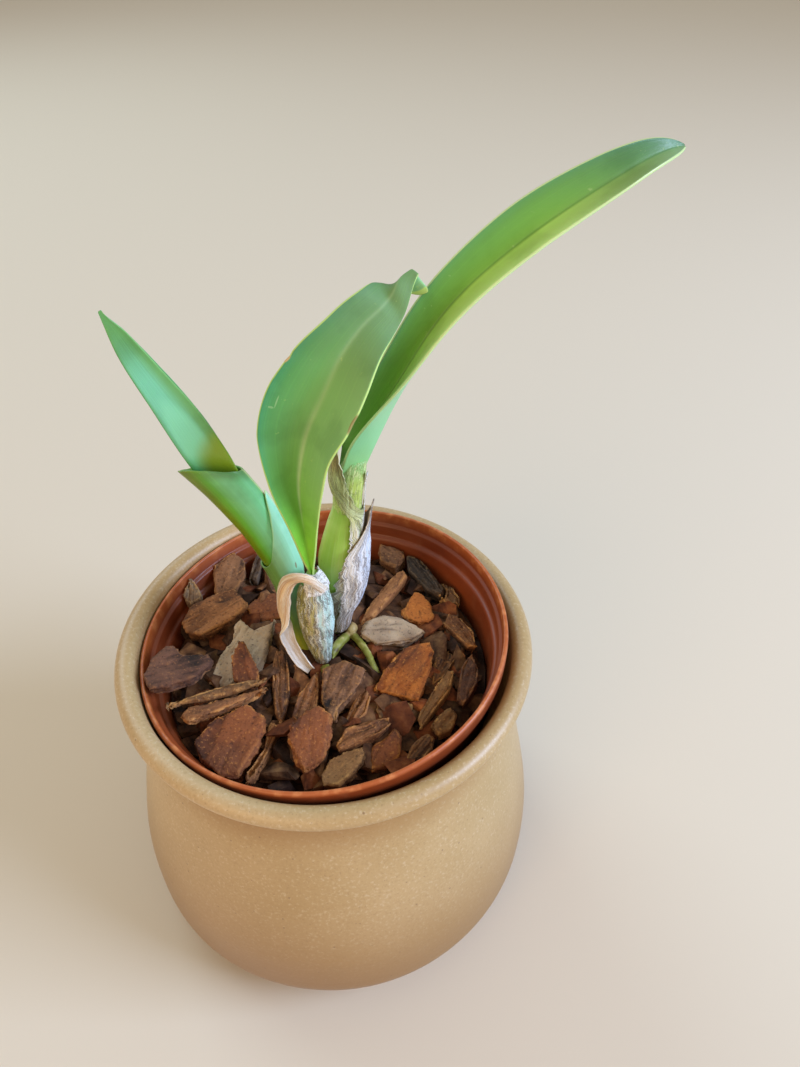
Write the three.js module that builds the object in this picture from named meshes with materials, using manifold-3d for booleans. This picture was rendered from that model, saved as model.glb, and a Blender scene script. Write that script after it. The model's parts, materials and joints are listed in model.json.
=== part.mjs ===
// A young cattleya orchid potted in orchid bark. The plastic nursery pot leans inside a stoneware cover pot.
// Units are millimetres, +Z is up and -Y is the front. The origin is the centre of the cover pot's flat base.

import * as THREE from 'three';
import { ConvexGeometry } from 'three/addons/geometries/ConvexGeometry.js';
import { mergeVertices } from 'three/addons/utils/BufferGeometryUtils.js';
import Module from 'manifold-3d';

const wasm = await Module();
wasm.setup();

// ---------------------------------------------------------------------------------------------------
// Driving dimensions
// ---------------------------------------------------------------------------------------------------

const CLEAR = 0.35; // how far a piece is grown before it is cut out of its neighbour

const COVER = {
  height: 120,
  rollRadius: 3.4, // half the thickness of the rolled rim
  rollCentre: 64.4, // radius of the rim's centre line
  // outside from the foot up to the rolled rim, as [radius, height]
  outside: [[54, 0], [62, 4.6], [70, 9.8], [73.2, 15], [74, 23], [73.4, 38], [70.7, 54], [66.6, 73], [62.8, 90],
    [59.6, 101], [60.6, 105], [62.6, 108.6], [65.2, 112]],
  // inside wall from under the rim down to the floor
  inside: [[60.2, 111], [57.9, 105.6], [56.4, 100], [58.8, 90], [62.4, 73], [66.4, 54], [69.2, 36], [69.4, 21],
    [63, 10.5], [56, 8]],
  floor: 8,
  sides: 34,
};

const NURSERY = {
  length: 109.8, // lip to base along the pot's own axis
  lipCentre: [-0.6, 0.1, 121.3],
  lean: 4.57, // degrees, towards the left
  // outside below the lip, as [radius, depth below the lip]
  outside: [[58.9, 0], [59.7, 0.3], [60, 1.1], [59.6, 5.8], [58.2, 6.3], [57.9, 10.4], [56.2, 10.9],
    [43.6, 109.1], [42.9, 109.8]],
  // inside from the base up to the lip, with its two small ledges
  inside: [[41.6, 108.3], [54.9, 11], [55.9, 9.8], [56.6, 9.4], [57, 4.9], [58.1, 4.5], [58.6, 0.3]],
  floorDepth: 108.3,
  clear: 0.45, // air between the wall and the bark
  holeRadius: 4,
  holeDepth: 6,
  holeRing: 28,
  holes: 6,
  sides: 40,
};

const BED = {
  // top of the bark under the loose chips, as [radius, height]
  mound: [[0, 107], [18, 106.5], [34, 104.5], [48, 102.5], [62, 100.5]],
  depth: 107.6, // bottom of the bark below the lip
  headroom: 12, // how far the chips may stand above the lip
  fillTop: 2, // bottom of the fill, well below the pot's own floor
  sag: 0.0017, // how fast the small chips' places fall off with the square of the radius
  rise: [0.4, 2.4], // how far a small chip's middle lies above the mound
  sides: 24,
  places: 60, // spots tried for a small chip, of which those under a larger chip stay empty
  reach: 53, // radius within which the small chips lie
  length: [8, 17],
  width: [4.5, 9],
  thickness: [2.5, 5],
  shrink: 0.4, // largest share by which a corner of a small chip is drawn in
  tilt: [1.1, 0.9], // radians of tilt about X and Y, from one extreme to the other
  wander: 0.5, // radians by which a place may leave the even spread
  seed: 41,
};

const CHIP = {
  foot: { scale: 0.8, rough: 1 }, // the underside, drawn in
  shoulder: { depth: 1.1, rough: 0.8 }, // where the sides meet the broken edge of the top
  face: { scale: 0.9, rough: 1 }, // the cracked top
  seed: 900,
  seedStep: 37,
};

// The larger chips, uppermost first. Each has the corners of its outline as [x, y], the height of its top face,
// the slope of that face along x and y, its thickness and its colour.
const CHIPS = [
  { outline: [[-59, -11], [-56, -3], [-52, 1.5], [-49, 1.5], [-46, -2.5], [-37, -3], [-35, -6], [-41, -13],
    [-50, -16.5], [-56, -17]], top: 119.5, slope: [-0.08, 0.02], thick: 5, tone: 'mauve' },
  { outline: [[-52, -20.5], [-46, -18], [-38, -16], [-26, -14], [-19, -14], [-19, -16], [-29, -18.5],
    [-41, -20]], top: 117, slope: [0.03, 0.1], thick: 3, tone: 'tan' },
  { outline: [[-31.5, -4], [-29, 2.5], [-26.5, 2], [-24, -4], [-21.5, -10], [-22, -15], [-27, -15.5],
    [-31.5, -12]], top: 116.5, slope: [0.05, 0.25], thick: 5, tone: 'rust' },
  { outline: [[-47.5, -24], [-44.5, -20], [-38, -18.5], [-30, -17], [-20, -15.5], [-19, -18], [-28, -22],
    [-36, -24.5], [-44, -27]], top: 115.5, slope: [0, 0.15], thick: 4, tone: 'brown' },
  { outline: [[-3, -11.5], [1, -10], [6, -9], [13, -13], [10, -18.5], [6, -23], [1.5, -27], [1, -31], [-2, -30],
    [-4, -24]], top: 115, slope: [-0.05, 0.15], thick: 7, tone: 'umber' },
  { outline: [[-14.5, -37], [-13.5, -32], [-8.5, -28.5], [-4, -26.5], [0, -31], [-1, -37], [-3, -43.5],
    [-10, -47], [-12, -43.5]], top: 115.5, slope: [0, 0.3], thick: 5, tone: 'rust' },
  { outline: [[-13.5, -26.5], [-11, -19], [-7, -14.5], [-3.5, -11], [-3.5, -18], [-4.5, -25], [-8, -29],
    [-12, -29.5]], top: 113.5, slope: [0.1, 0.1], thick: 8, tone: 'brown' },
  { outline: [[-1, -39], [3, -34], [10, -31.5], [17, -30.5], [18.5, -33.5], [14, -37], [5, -40], [0, -41.5]],
    top: 113, slope: [0, 0.1], thick: 6, tone: 'brown' },
  { outline: [[-6, -48], [-2.5, -42.5], [2.5, -40.5], [8, -39.5], [9.5, -42], [5, -48], [0, -52], [-5, -51]],
    top: 112, slope: [0.03, 0.15], thick: 7, tone: 'tan' },
  { outline: [[-40, -9], [-36, 1.5], [-32, 6], [-31.5, 12], [-28.5, 14.5], [-23.5, 9.5], [-16, 12], [-17, 5],
    [-21, -7], [-30, -13]], top: 113.5, slope: [0.05, 0.2], thick: 6, tone: 'grey' },
  { outline: [[17, -12], [21.5, -7.5], [25, -4], [34.5, -3], [35.5, -8], [33, -16], [27.5, -26], [20, -23],
    [12.5, -19]], top: 113, slope: [0.05, 0.1], thick: 7, tone: 'orange' },
  { outline: [[10.5, 2.5], [13.5, 8.5], [19.5, 11.5], [26, 9.5], [34.5, 2], [29, -2], [16, -3]],
    top: 113.5, slope: [-0.05, 0.05], thick: 7, tone: 'grey' },
  { outline: [[25.5, -31], [28.5, -26.5], [34, -19.5], [38, -14.5], [40.5, -16], [38, -23], [31, -30],
    [26, -35.5]], top: 112, slope: [0.1, 0.1], thick: 6, tone: 'tan' },
  { outline: [[11, 8.5], [15, 16], [21, 25], [27, 32], [31, 34], [32, 30.5], [25, 21.5], [16.5, 11]],
    top: 112, slope: [0.1, -0.05], thick: 5, tone: 'brown' },
  { outline: [[-17, 2.5], [-13.5, 1.5], [-12.5, -8], [-12.5, -17], [-14.5, -24], [-16.5, -29], [-18.5, -24],
    [-19, -14], [-18.5, -5]], top: 112, slope: [0, 0.05], thick: 8, tone: 'brown' },
  { outline: [[-43.5, -32], [-39, -27.5], [-33.5, -22], [-26, -21], [-20, -27], [-22, -35], [-28.5, -44.5],
    [-34.5, -44], [-41, -37]], top: 113, slope: [0, 0.22], thick: 10, tone: 'rust' },
  { outline: [[-19, -25], [-15.5, -28], [-18, -33], [-24, -45], [-27, -47], [-28, -42.5], [-22, -30]],
    top: 110.5, slope: [0.1, 0], thick: 7, tone: 'brown' },
  { outline: [[26.5, 12.5], [29, 18], [33, 24], [36, 22], [38.5, 16], [38, 9], [32, 6.5], [28, 9]],
    top: 111, slope: [0, -0.05], thick: 7, tone: 'orange' },
  { outline: [[32, 42.5], [35.5, 44.5], [40, 35], [44.5, 23], [43, 19.5], [37.5, 24], [32, 34]],
    top: 111, slope: [0, 0.05], thick: 7, tone: 'char' },
  { outline: [[39.5, 24.5], [42.5, 28], [47, 25.5], [50, 19], [48.5, 14.5], [43, 17]],
    top: 110, slope: [0, 0], thick: 6, tone: 'tan' },
  { outline: [[40, 8.5], [43.5, 12.5], [47.5, 9.5], [51, 3], [50.5, -5], [47, -4.5], [43.5, 2]],
    top: 110, slope: [0.05, 0], thick: 7, tone: 'brown' },
  { outline: [[39, -26], [41, -19.5], [43.5, -12], [48, -7.5], [49.5, -14], [48, -20], [41, -28.5]],
    top: 111, slope: [0.1, 0], thick: 7, tone: 'mauve' },
  { outline: [[29, -34.5], [32, -31], [37, -28.5], [39, -31], [36, -36.5], [31, -38]],
    top: 111, slope: [0, 0.2], thick: 6, tone: 'tan' },
  { outline: [[9, -41], [13, -36], [18.5, -33], [20.5, -37], [19, -43], [14.5, -46], [9.5, -46.5]],
    top: 110, slope: [0, 0.2], thick: 7, tone: 'rust' },
  { outline: [[19, -45.5], [22.5, -39.5], [27, -36], [31, -37], [29, -42], [24, -46.5]],
    top: 109.5, slope: [0, 0.15], thick: 6, tone: 'umber' },
  { outline: [[-49.5, 18], [-46.5, 25], [-37, 29], [-30.5, 30.5], [-25.5, 21.5], [-31, 15], [-42, 10],
    [-48, 12.5]], top: 113.5, slope: [0.02, 0.12], thick: 8, tone: 'brown' },
  { outline: [[-49.5, 28], [-50, 36.5], [-48, 38], [-45.5, 34.5], [-42.5, 29.5], [-42, 25], [-46, 24]],
    top: 115, slope: [0, 0.35], thick: 9, tone: 'grey' },
  { outline: [[-39, 30], [-41, 47], [-38.5, 48], [-32, 49], [-27, 45], [-26.5, 38], [-31, 31]],
    top: 113.5, slope: [0, 0.3], thick: 9, tone: 'umber' },
  { outline: [[-27, 36], [-25, 45], [-22, 51], [-20, 50], [-21, 43], [-23.5, 36]],
    top: 112, slope: [0, 0.15], thick: 7, tone: 'char' },
  { outline: [[-30, 21], [-26, 27], [-21, 30], [-15, 30], [-12.5, 25], [-14, 17.5], [-22, 16.5]],
    top: 110, slope: [0, 0.08], thick: 7, tone: 'rust' },
  { outline: [[22, 40.5], [23, 49], [29, 51], [33, 47], [32.5, 39.5], [27.5, 35.5]],
    top: 112, slope: [0, 0.1], thick: 8, tone: 'umber' },
  { outline: [[12.5, -25.5], [15, -22], [20.5, -23], [26, -25], [25.5, -28.5], [20, -30], [13.5, -29.5]],
    top: 110.5, slope: [0, 0.05], thick: 6, tone: 'tan' },
  { outline: [[2.5, -30], [6.5, -22], [11, -17.5], [13, -21], [10.5, -27.5], [5.5, -32]],
    top: 111, slope: [0, 0.1], thick: 7, tone: 'brown' },
  { outline: [[-12.5, -1.5], [-9.5, -4], [-6.5, -9], [-8, -13], [-11, -12], [-12.5, -7]],
    top: 110, slope: [0, 0.1], thick: 6, tone: 'brown' },
  { outline: [[32, -19], [34, -10], [36.5, -4.5], [41, -3.5], [43, -7.5], [38.5, -14]],
    top: 109, slope: [0, 0], thick: 6, tone: 'umber' },
];

// A leaf is set out along its midrib. The lists give, from base to tip, its half width measured flat, the angle
// that each half rises from flat, and the turn of its upper face away from the front, towards the right. A tip
// is the share of the length over which a blunt end is rounded off, and a flap is what the left half gains at
// the tip, where it folds back behind the right half.
const LEAF_LONG = {
  midrib: [[11.6, 8.4, 171.3], [15, 8.6, 178], [26, 11, 201.2], [39.8, 15, 223], [60, 20, 238.4],
    [86.8, 25, 252.8], [100.8, 28.7, 257]],
  halfWidth: [6.2, 10.9, 12, 12.6, 12.3, 9.5, 4.6],
  fold: [75, 64, 56, 51],
  turn: [-90, -44, -44, -44],
  middle: 2,
  edge: 0.8,
  tip: 0.1,
};
const LEAF_BROAD = {
  midrib: [[-2.7, -4, 151.8], [-4, -6, 183.4], [0, -6, 201.2], [5.7, -4.4, 213.5], [10.4, -2.6, 223],
    [15.7, -0.4, 229.2], [22.2, 2.6, 233.4], [28.8, 6.2, 238.1]],
  halfWidth: [1.9, 4.6, 7.1, 9.6, 12.2, 14.2, 15.2, 13.4, 9.6, 5.6, 1.2],
  fold: [64, 62, 61, 59, 54, 45, 40, 38, 33, 2, -70],
  turn: [0, 3, 5, 2, -10, -28, -30, -24, -17, -25, -120],
  middle: 1.8,
  edge: 0.8,
  flap: 3,
};
const LEAF_NEW = {
  midrib: [[-12.6, 2.5, 141], [-17.2, 2.3, 155], [-24.9, 1.6, 173], [-32.5, 0, 191.2], [-38.5, -0.5, 209.5],
    [-42.8, -1.2, 224], [-44.5, -2, 236.5]],
  halfWidth: [3.2, 5.8, 8, 9, 10.3, 9.6, 8.2, 6.9, 1.2],
  fold: [78, 82, 84, 84, 80],
  turn: [90, 90, 96, 100, 104],
  middle: 1.2,
  edge: 0.7,
};
const LEAF_STEPS = 20; // rows of a leaf from base to tip
const LEAF_ACROSS = [-1, -0.65, -0.3, 0, 0.3, 0.65, 1];
const LEAF_ROUNDING = 1.35; // 1 is a sharp fold at the midrib, 2 an evenly curved trough
// Near the tip of a leaf with a flap, the left half grows wider, from this share of the length on.
const FLAP = { from: 0.92, to: 0.98 };
// The narrowest half widths, and the most of a fold's height that its thick middle fills.
const LEAF_LIMITS = { half: 0.8, inside: 0.15, keel: 0.75 };

// Rows of [height, x, y, radius] up each pseudobulb.
const BULB_FRONT = [[109.6, -1.4, -4, 1.6], [113, -1.8, -4, 1.9], [118, -2.2, -4, 2.9], [124, -2.5, -4, 3.9],
  [130, -2.6, -4, 4.6], [137, -2.8, -4, 4.5], [144, -2.8, -4, 3.6], [149, -2.6, -4, 2.3],
  [151.2, -2.6, -4, 1.5]];
const BULB_BACK = [[109.6, 4.5, 9, 1.9], [113, 4.6, 9, 2.1], [120, 4.9, 9, 3.2], [126, 5.8, 9, 4.9],
  [132, 6.1, 9, 6.1], [138, 6.2, 9, 6.8], [144, 6.3, 9, 6.8], [150, 7, 9, 6.2], [158, 8.2, 9, 5.2],
  [164, 9.3, 8.8, 4.4], [170.8, 10.1, 8.5, 3.9]];
const BULB_SIDES = 14;
// The folded foot of the long leaf above the back pseudobulb, in the same form.
const FOOT_BACK = [[175, 10, 8.6, 4.4], [180, 10.7, 8.7, 4.9], [184, 11.8, 8.8, 5.4], [188, 13.8, 8.9, 5.8]];
const SHEATH = {
  gap: 0.4,
  wall: 0.6,
  columns: 13,
  hug: 2, // how closely a sheath clings away from the side where it stands off
};
// Each sheath: rows of [height, angle where it starts, angle where it ends, how far it stands off on the
// right]. Angles go round the bulb from +X, and -90 is the front.
const SHEATH_FRONT = [[111.5, -190, 100, 0], [120, -185, 95, 0], [130, -180, 90, 0], [140, -180, 85, 0],
  [147.5, -175, 80, 0]];
const SHEATH_BACK = [[111.5, -170, 150, 0], [120, -152, 150, 0], [126, -132, 147, 0], [132, -118, 144, 0],
  [141, -98, 140, 0], [150, -80, 120, 0], [158, -74, 100, 0], [160, -76, 80, 0], [162, -79, 48, 0],
  [164, -84, 12, 0], [166, -98, -24, 0], [168, -122, -46, 0], [170.8, -160, -60, 0], [173, -186, -70, 0],
  [176, -200, -80, 0], [180, -205, -96, 0], [184, -203, -118, 0], [188, -196, -150, 0]];
const SHEATH_OUTER = [[112.5, -112, 88, 0], [116, -105, 86, 0], [120, -99, 84, 0.2], [132, -84, 80, 0.9],
  [144, -70, 72, 1.9], [150, -66, 58, 1.7], [154, -58, 44, 1.3], [158, -36, 28, 1.2], [161, -30, 14, 1.3],
  [164, -22, 2, 1.6], [167.5, -14, -6, 2.2]];

// The new shoot: rows of [height, x, y, half width, half depth] of its second leaf's closed sleeve.
const SHOOT = [[112.6, -6.9, 1.9, 1.6, 1.6], [118, -8.1, 2, 1.9, 1.8], [124, -9, 2.2, 2.2, 2.1],
  [131, -9.5, 2.4, 2.8, 2.4], [141, -9.9, 2.5, 3.9, 2.9], [148, -10.9, 2.5, 4.9, 3.3],
  [155, -12.7, 2.4, 5.6, 3.6], [165, -15.7, 2, 6.4, 3.9], [173, -18.9, 1.7, 7.1, 4.1],
  [180, -22.1, 1.4, 7.4, 4.2], [186, -25.2, 1, 7.5, 4.2], [191, -27.9, 0.6, 7.4, 4.1]];
const SHOOT_SIDES = 14;
const SHOOT_ROWS = 11;
const SHOOT_IN_BARK = 150; // below this height the shoot may touch the bark
// A sleeve's rim has a low side and rises towards one side. Its top may flare out on the left.
const SLEEVE = { gap: 0, wall: 0.7, bottom: 112.6, low: 187, rise: 4, towards: -110, flare: 1.4, bend: 8 };
const SHOOT_SHEATH = { gap: 0.45, wall: 0.6, bottom: 111.5, low: 151, rise: 28, towards: 0, flare: 0, bend: 1 };

// A dry bract that has split off the front pseudobulb and curls round the foot of the new shoot.
const BRACT = {
  path: [[0.6, -9.6, 147], [-2.6, -9.9, 151.2], [-6.3, -9.2, 152.2], [-10, -7.5, 149.6], [-12.4, -6.2, 144],
    [-13.2, -5.6, 137], [-12.7, -6, 129], [-11, -7.2, 121], [-8.2, -8.6, 114.6], [-5.2, -9.6, 110.6]],
  halfWidth: [1.7, 2.4, 2.6, 2.7, 2.7, 2.6, 2.3, 2, 1.8, 1.4],
  thick: 0.7,
  curl: 62, // degrees that each side of the strip bends inwards
  around: [-4, 1], // the upright line that the strip's outer face looks away from
  rows: 16,
};
const BRACT_ACROSS = [-1, -0.5, 0, 0.5, 1];

// The rhizome, a knob on it and three short roots, as centre lines with a radius.
const RHIZOME = [
  { path: [[7.5, 10.5, 106.6], [4, 6.5, 106.2], [0.5, 2.5, 105.9], [-3.4, 1, 106], [-7.2, 2, 107]],
    radius: 3.1 },
  { path: [[5, 7, 107.6], [8.2, 6.6, 110.6]], radius: 1.7 },
  { path: [[8.2, 6.6, 110.8], [12, -1, 111.4], [14.2, -7.5, 110.6], [15.6, -12, 108.2]], radius: 1.1 },
  { path: [[8, 6, 110.4], [3.6, 0.4, 111.6], [0.2, -4.4, 110.6], [-0.6, -7, 108.6]], radius: 1.4 },
  { path: [[-1.4, -2, 106.6], [-1.2, -7.4, 110.2], [-0.4, -10.4, 108.6], [0, -12.4, 105.8]], radius: 1.8 },
];
const KNOB = { centre: [8.6, 6.8, 112], radius: 2.2 };
const ROOT_SIDES = 6;
const HOLE_SIDES = 10;

const COLOURS = {
  stoneware: [0xb9a683, 0.55], plastic: [0xa64b25, 0.45], bed: [0x4a2f20, 0.95],
  mauve: [0x6b4a3f, 0.9], rust: [0x8a4a2a, 0.9], brown: [0x6e472e, 0.9], tan: [0x8d6a48, 0.9],
  umber: [0x5a3b2a, 0.95], grey: [0x7d7468, 0.95], orange: [0xa05a2c, 0.85], char: [0x2e2b26, 0.95],
  leaf: [0x4f8a3a, 0.45], fresh: [0x6fae6a, 0.45], bulb: [0x7fa04a, 0.5], papery: [0xc9c6bd, 0.8],
  straw: [0xd8c3a0, 0.85], root: [0x9a9a4a, 0.7],
};

// ---------------------------------------------------------------------------------------------------
// Helpers
// ---------------------------------------------------------------------------------------------------

const GOLDEN_ANGLE = Math.PI * (3 - Math.sqrt(5)); // spreads places evenly over a disc
const radians = THREE.MathUtils.degToRad;
const vector = ([x, y, z]) => new THREE.Vector3(x, y, z);

// Repeatable random numbers between 0 and 1, from a linear congruential generator.
function randomFrom(seed) {
  let state = seed;
  return () => {
    state = (state * 1664525 + 1013904223) % 4294967296;
    return state / 4294967296;
  };
}

// A value read from an evenly spaced list along t from 0 to 1, on a smooth curve.
function along(values, t) {
  const curve = new THREE.SplineCurve(values.map((value) => new THREE.Vector2(value, 0)));
  return curve.getPoint(THREE.MathUtils.clamp(t, 0, 1)).x;
}

// The rest of a row read at a height, from rows whose first number is the height that they stand at.
function rowAt(rows, height) {
  const above = rows.findIndex((row) => row[0] > height);
  const next = above < 0 ? rows.length - 1 : Math.max(above, 1);
  const [low, high] = [rows[next - 1], rows[next]];
  const t = THREE.MathUtils.clamp((height - low[0]) / (high[0] - low[0]), 0, 1);
  return low.slice(1).map((value, k) => THREE.MathUtils.lerp(value, high[k + 1], t));
}

// Makes a geometry from points and triangles, with its faces pointing outwards.
function shell(points, triangles) {
  let volume = 0;
  const cross = new THREE.Vector3();
  for (let i = 0; i < triangles.length; i += 3) {
    const [a, b, c] = [0, 1, 2].map((k) => points[triangles[i + k]]);
    volume += a.dot(cross.crossVectors(b, c));
  }
  const index = volume < 0 ? triangles.slice().reverse() : triangles;
  const geometry = new THREE.BufferGeometry().setFromPoints(points);
  geometry.setIndex(index);
  return geometry;
}

// Turns a closed geometry into a solid that can be joined and cut.
function solid(geometry) {
  const plain = geometry.clone();
  plain.deleteAttribute('normal');
  plain.deleteAttribute('uv');
  const merged = mergeVertices(plain, 1e-4);
  const position = merged.getAttribute('position');
  const corner = (_, i) => new THREE.Vector3().fromBufferAttribute(position, i);
  const points = Array.from({ length: position.count }, corner);
  const index = Array.from(merged.index.array);
  const triangles = [];
  for (let i = 0; i < index.length; i += 3) {
    const [a, b, c] = index.slice(i, i + 3);
    if (a !== b && b !== c && c !== a) triangles.push(a, b, c);
  }
  const clean = shell(points, triangles);
  const vertProperties = new Float32Array(clean.getAttribute('position').array);
  const triVerts = new Uint32Array(clean.index.array);
  return new wasm.Manifold(new wasm.Mesh({ numProp: 3, vertProperties, triVerts }));
}

// The largest single body of a solid, so that scraps cut loose are dropped.
function largest(body) {
  const bodies = body.decompose();
  return bodies.sort((a, b) => b.volume() - a.volume())[0];
}

function cut(body, others) {
  return others.reduce((rest, other) => rest.subtract(other), body);
}

function join(bodies) {
  return bodies.reduce((sum, body) => sum.add(body));
}

// The triangles of a tube through rings of points, numbered ring by ring and left open at both ends.
function skinOf(rings) {
  const count = rings[0].length;
  const triangles = [];
  for (let i = 0; i < rings.length - 1; i += 1) {
    for (let j = 0; j < count; j += 1) {
      const [a, b] = [i * count + j, i * count + ((j + 1) % count)];
      triangles.push(a, b, b + count, a, b + count, a + count);
    }
  }
  return triangles;
}

// A closed solid through rings of points, with both ends filled in.
function loft(rings) {
  const count = rings[0].length;
  const points = rings.flat();
  const triangles = skinOf(rings);
  for (const [row, forward] of [[0, false], [rings.length - 1, true]]) {
    const centre = rings[row].reduce((sum, p) => sum.add(p), new THREE.Vector3()).divideScalar(count);
    points.push(centre);
    for (let j = 0; j < count; j += 1) {
      const [a, b] = [row * count + j, row * count + ((j + 1) % count)];
      triangles.push(...(forward ? [a, b, points.length - 1] : [b, a, points.length - 1]));
    }
  }
  return shell(points, triangles);
}

// A closed wall between an outer and an inner sheet of points with the same rows and columns. Where it goes all
// the way around, its last column joins its first.
function wall(outer, inner, around) {
  const rows = outer.length;
  const columns = outer[0].length;
  const points = [...outer.flat(), ...inner.flat()];
  const triangles = [];
  const out = (i, j) => i * columns + (j % columns);
  const inn = (i, j) => rows * columns + out(i, j);
  const quad = (a, b, c, d) => triangles.push(a, b, c, a, c, d);
  const spans = around ? columns : columns - 1;
  for (let j = 0; j < spans; j += 1) {
    for (let i = 0; i < rows - 1; i += 1) {
      quad(out(i, j), out(i, j + 1), out(i + 1, j + 1), out(i + 1, j));
      quad(inn(i, j), inn(i + 1, j), inn(i + 1, j + 1), inn(i, j + 1));
    }
    quad(out(0, j + 1), out(0, j), inn(0, j), inn(0, j + 1));
    quad(out(rows - 1, j), out(rows - 1, j + 1), inn(rows - 1, j + 1), inn(rows - 1, j));
  }
  for (let i = 0; i < rows - 1 && !around; i += 1) {
    quad(out(i, 0), out(i + 1, 0), inn(i + 1, 0), inn(i, 0));
    quad(out(i + 1, spans), out(i, spans), inn(i, spans), inn(i + 1, spans));
  }
  return shell(points, triangles);
}

// A solid turned about the vertical axis from a closed profile of [radius, height].
function turned(profile, sides) {
  const points = profile.map(([radius, height]) => new THREE.Vector2(radius, height));
  return solid(new THREE.LatheGeometry(points, sides).rotateX(Math.PI / 2));
}

// A round bar of constant radius along a smooth curve, with round ends.
function bar({ path, radius }, grow) {
  const curve = new THREE.CatmullRomCurve3(path.map(vector));
  const section = new THREE.Shape();
  section.absarc(0, 0, radius + grow, 0, 2 * Math.PI);
  const steps = 2 * path.length - 3;
  const curveSegments = ROOT_SIDES / 2;
  const options = { steps, curveSegments, bevelEnabled: false, extrudePath: curve };
  const parts = [solid(new THREE.ExtrudeGeometry(section, options))];
  for (const end of [path[0], path[path.length - 1]]) {
    parts.push(solid(new THREE.SphereGeometry(radius + 2 * grow, ROOT_SIDES, 4).translate(...end)));
  }
  return join(parts);
}

// ---------------------------------------------------------------------------------------------------
// Pots
// ---------------------------------------------------------------------------------------------------

// The outside up to the rolled rim, the rim, then the inside down to the floor.
function coverPot() {
  const roll = [];
  for (let angle = -30; angle <= 180; angle += 30) {
    const radius = COVER.rollCentre + COVER.rollRadius * Math.cos(radians(angle));
    roll.push([radius, COVER.height - COVER.rollRadius + COVER.rollRadius * Math.sin(radians(angle))]);
  }
  return turned([[0, 0], ...COVER.outside, ...roll, ...COVER.inside, [0, COVER.floor]], COVER.sides);
}

// Stands a pot-shaped solid, modelled from its lip down, at its place and lean.
function placeNursery(body) {
  return body.rotate([0, -NURSERY.lean, 0]).translate(NURSERY.lipCentre);
}

function nurseryPot() {
  const profile = [[0, NURSERY.floorDepth], ...NURSERY.inside, ...NURSERY.outside, [0, NURSERY.length]];
  const body = turned(profile.map(([radius, depth]) => [radius, -depth]), NURSERY.sides);
  const holes = [];
  for (let i = 0; i < NURSERY.holes; i += 1) {
    const angle = (2 * Math.PI * i) / NURSERY.holes;
    const { holeRadius, holeDepth, holeRing, length } = NURSERY;
    const hole = new THREE.CylinderGeometry(holeRadius, holeRadius, holeDepth, HOLE_SIDES).rotateX(Math.PI / 2);
    holes.push(solid(hole.translate(holeRing * Math.cos(angle), holeRing * Math.sin(angle), -length)));
  }
  return placeNursery(cut(body, holes));
}

// The room inside the nursery pot, kept a little clear of its wall and open above the lip.
function nurseryRoom() {
  const inside = NURSERY.inside.map(([radius, depth]) => [radius - NURSERY.clear, -Math.min(depth, BED.depth)]);
  const [mouth] = inside[inside.length - 1];
  const profile = [[0, -BED.depth], ...inside, [mouth, BED.headroom], [0, BED.headroom]];
  return placeNursery(turned(profile, NURSERY.sides));
}

// ---------------------------------------------------------------------------------------------------
// Bark
// ---------------------------------------------------------------------------------------------------

// Moves every edge of a closed outline outwards by a distance.
function widened(outline, distance) {
  const turn = outline.reduce((sum, [x, y], i) => {
    const [nextX, nextY] = outline[(i + 1) % outline.length];
    return sum + x * nextY - nextX * y;
  }, 0);
  const side = Math.sign(turn) * distance;
  return outline.map(([x, y], i) => {
    const before = outline[(i + outline.length - 1) % outline.length];
    const after = outline[(i + 1) % outline.length];
    const a = new THREE.Vector2(x - before[0], y - before[1]).normalize();
    const b = new THREE.Vector2(after[0] - x, after[1] - y).normalize();
    const out = new THREE.Vector2(a.y + b.y, -a.x - b.x).normalize();
    const stretch = side / Math.max(out.dot(new THREE.Vector2(a.y, -a.x)), 0.5);
    return [x + out.x * stretch, y + out.y * stretch];
  });
}

// One large chip: a cracked flat top, a broken shoulder just below it, and sides that draw in underneath.
function largeChip(chip, number, grow) {
  const random = randomFrom(CHIP.seed + CHIP.seedStep * number);
  const outline = widened(chip.outline, grow);
  const count = outline.length;
  const centre = [0, 1].map((k) => outline.reduce((sum, corner) => sum + corner[k], 0) / count);
  const ring = (scale, depth, rough) => outline.map(([x, y]) => {
    const across = [scale * (x - centre[0]), scale * (y - centre[1])];
    const tilt = chip.slope[0] * across[0] + chip.slope[1] * across[1];
    const z = chip.top + tilt - depth + rough * (random() - 0.5);
    return new THREE.Vector3(centre[0] + across[0], centre[1] + across[1], z);
  });
  const rings = [
    ring(CHIP.foot.scale, chip.thick + 2 * grow, CHIP.foot.rough),
    ring(1, CHIP.shoulder.depth, CHIP.shoulder.rough),
    ring(CHIP.face.scale, -grow, CHIP.face.rough),
  ];
  const triangles = skinOf(rings);
  const flat = outline.map(([x, y]) => new THREE.Vector2(x, y));
  const top = count * (rings.length - 1);
  const anticlockwise = THREE.ShapeUtils.area(flat) > 0;
  for (const face of THREE.ShapeUtils.triangulateShape(flat, [])) {
    const [a, b, c] = anticlockwise ? face : face.slice().reverse();
    triangles.push(a + top, b + top, c + top, a, c, b);
  }
  return solid(shell(rings.flat(), triangles));
}

// Whether a closed outline goes round a point.
function surrounds(outline, point) {
  let inside = false;
  outline.forEach(([x, y], i) => {
    const [nextX, nextY] = outline[(i + 1) % outline.length];
    const between = (y > point.y) !== (nextY > point.y);
    if (between && point.x < x + ((nextX - x) * (point.y - y)) / (nextY - y)) inside = !inside;
  });
  return inside;
}

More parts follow.
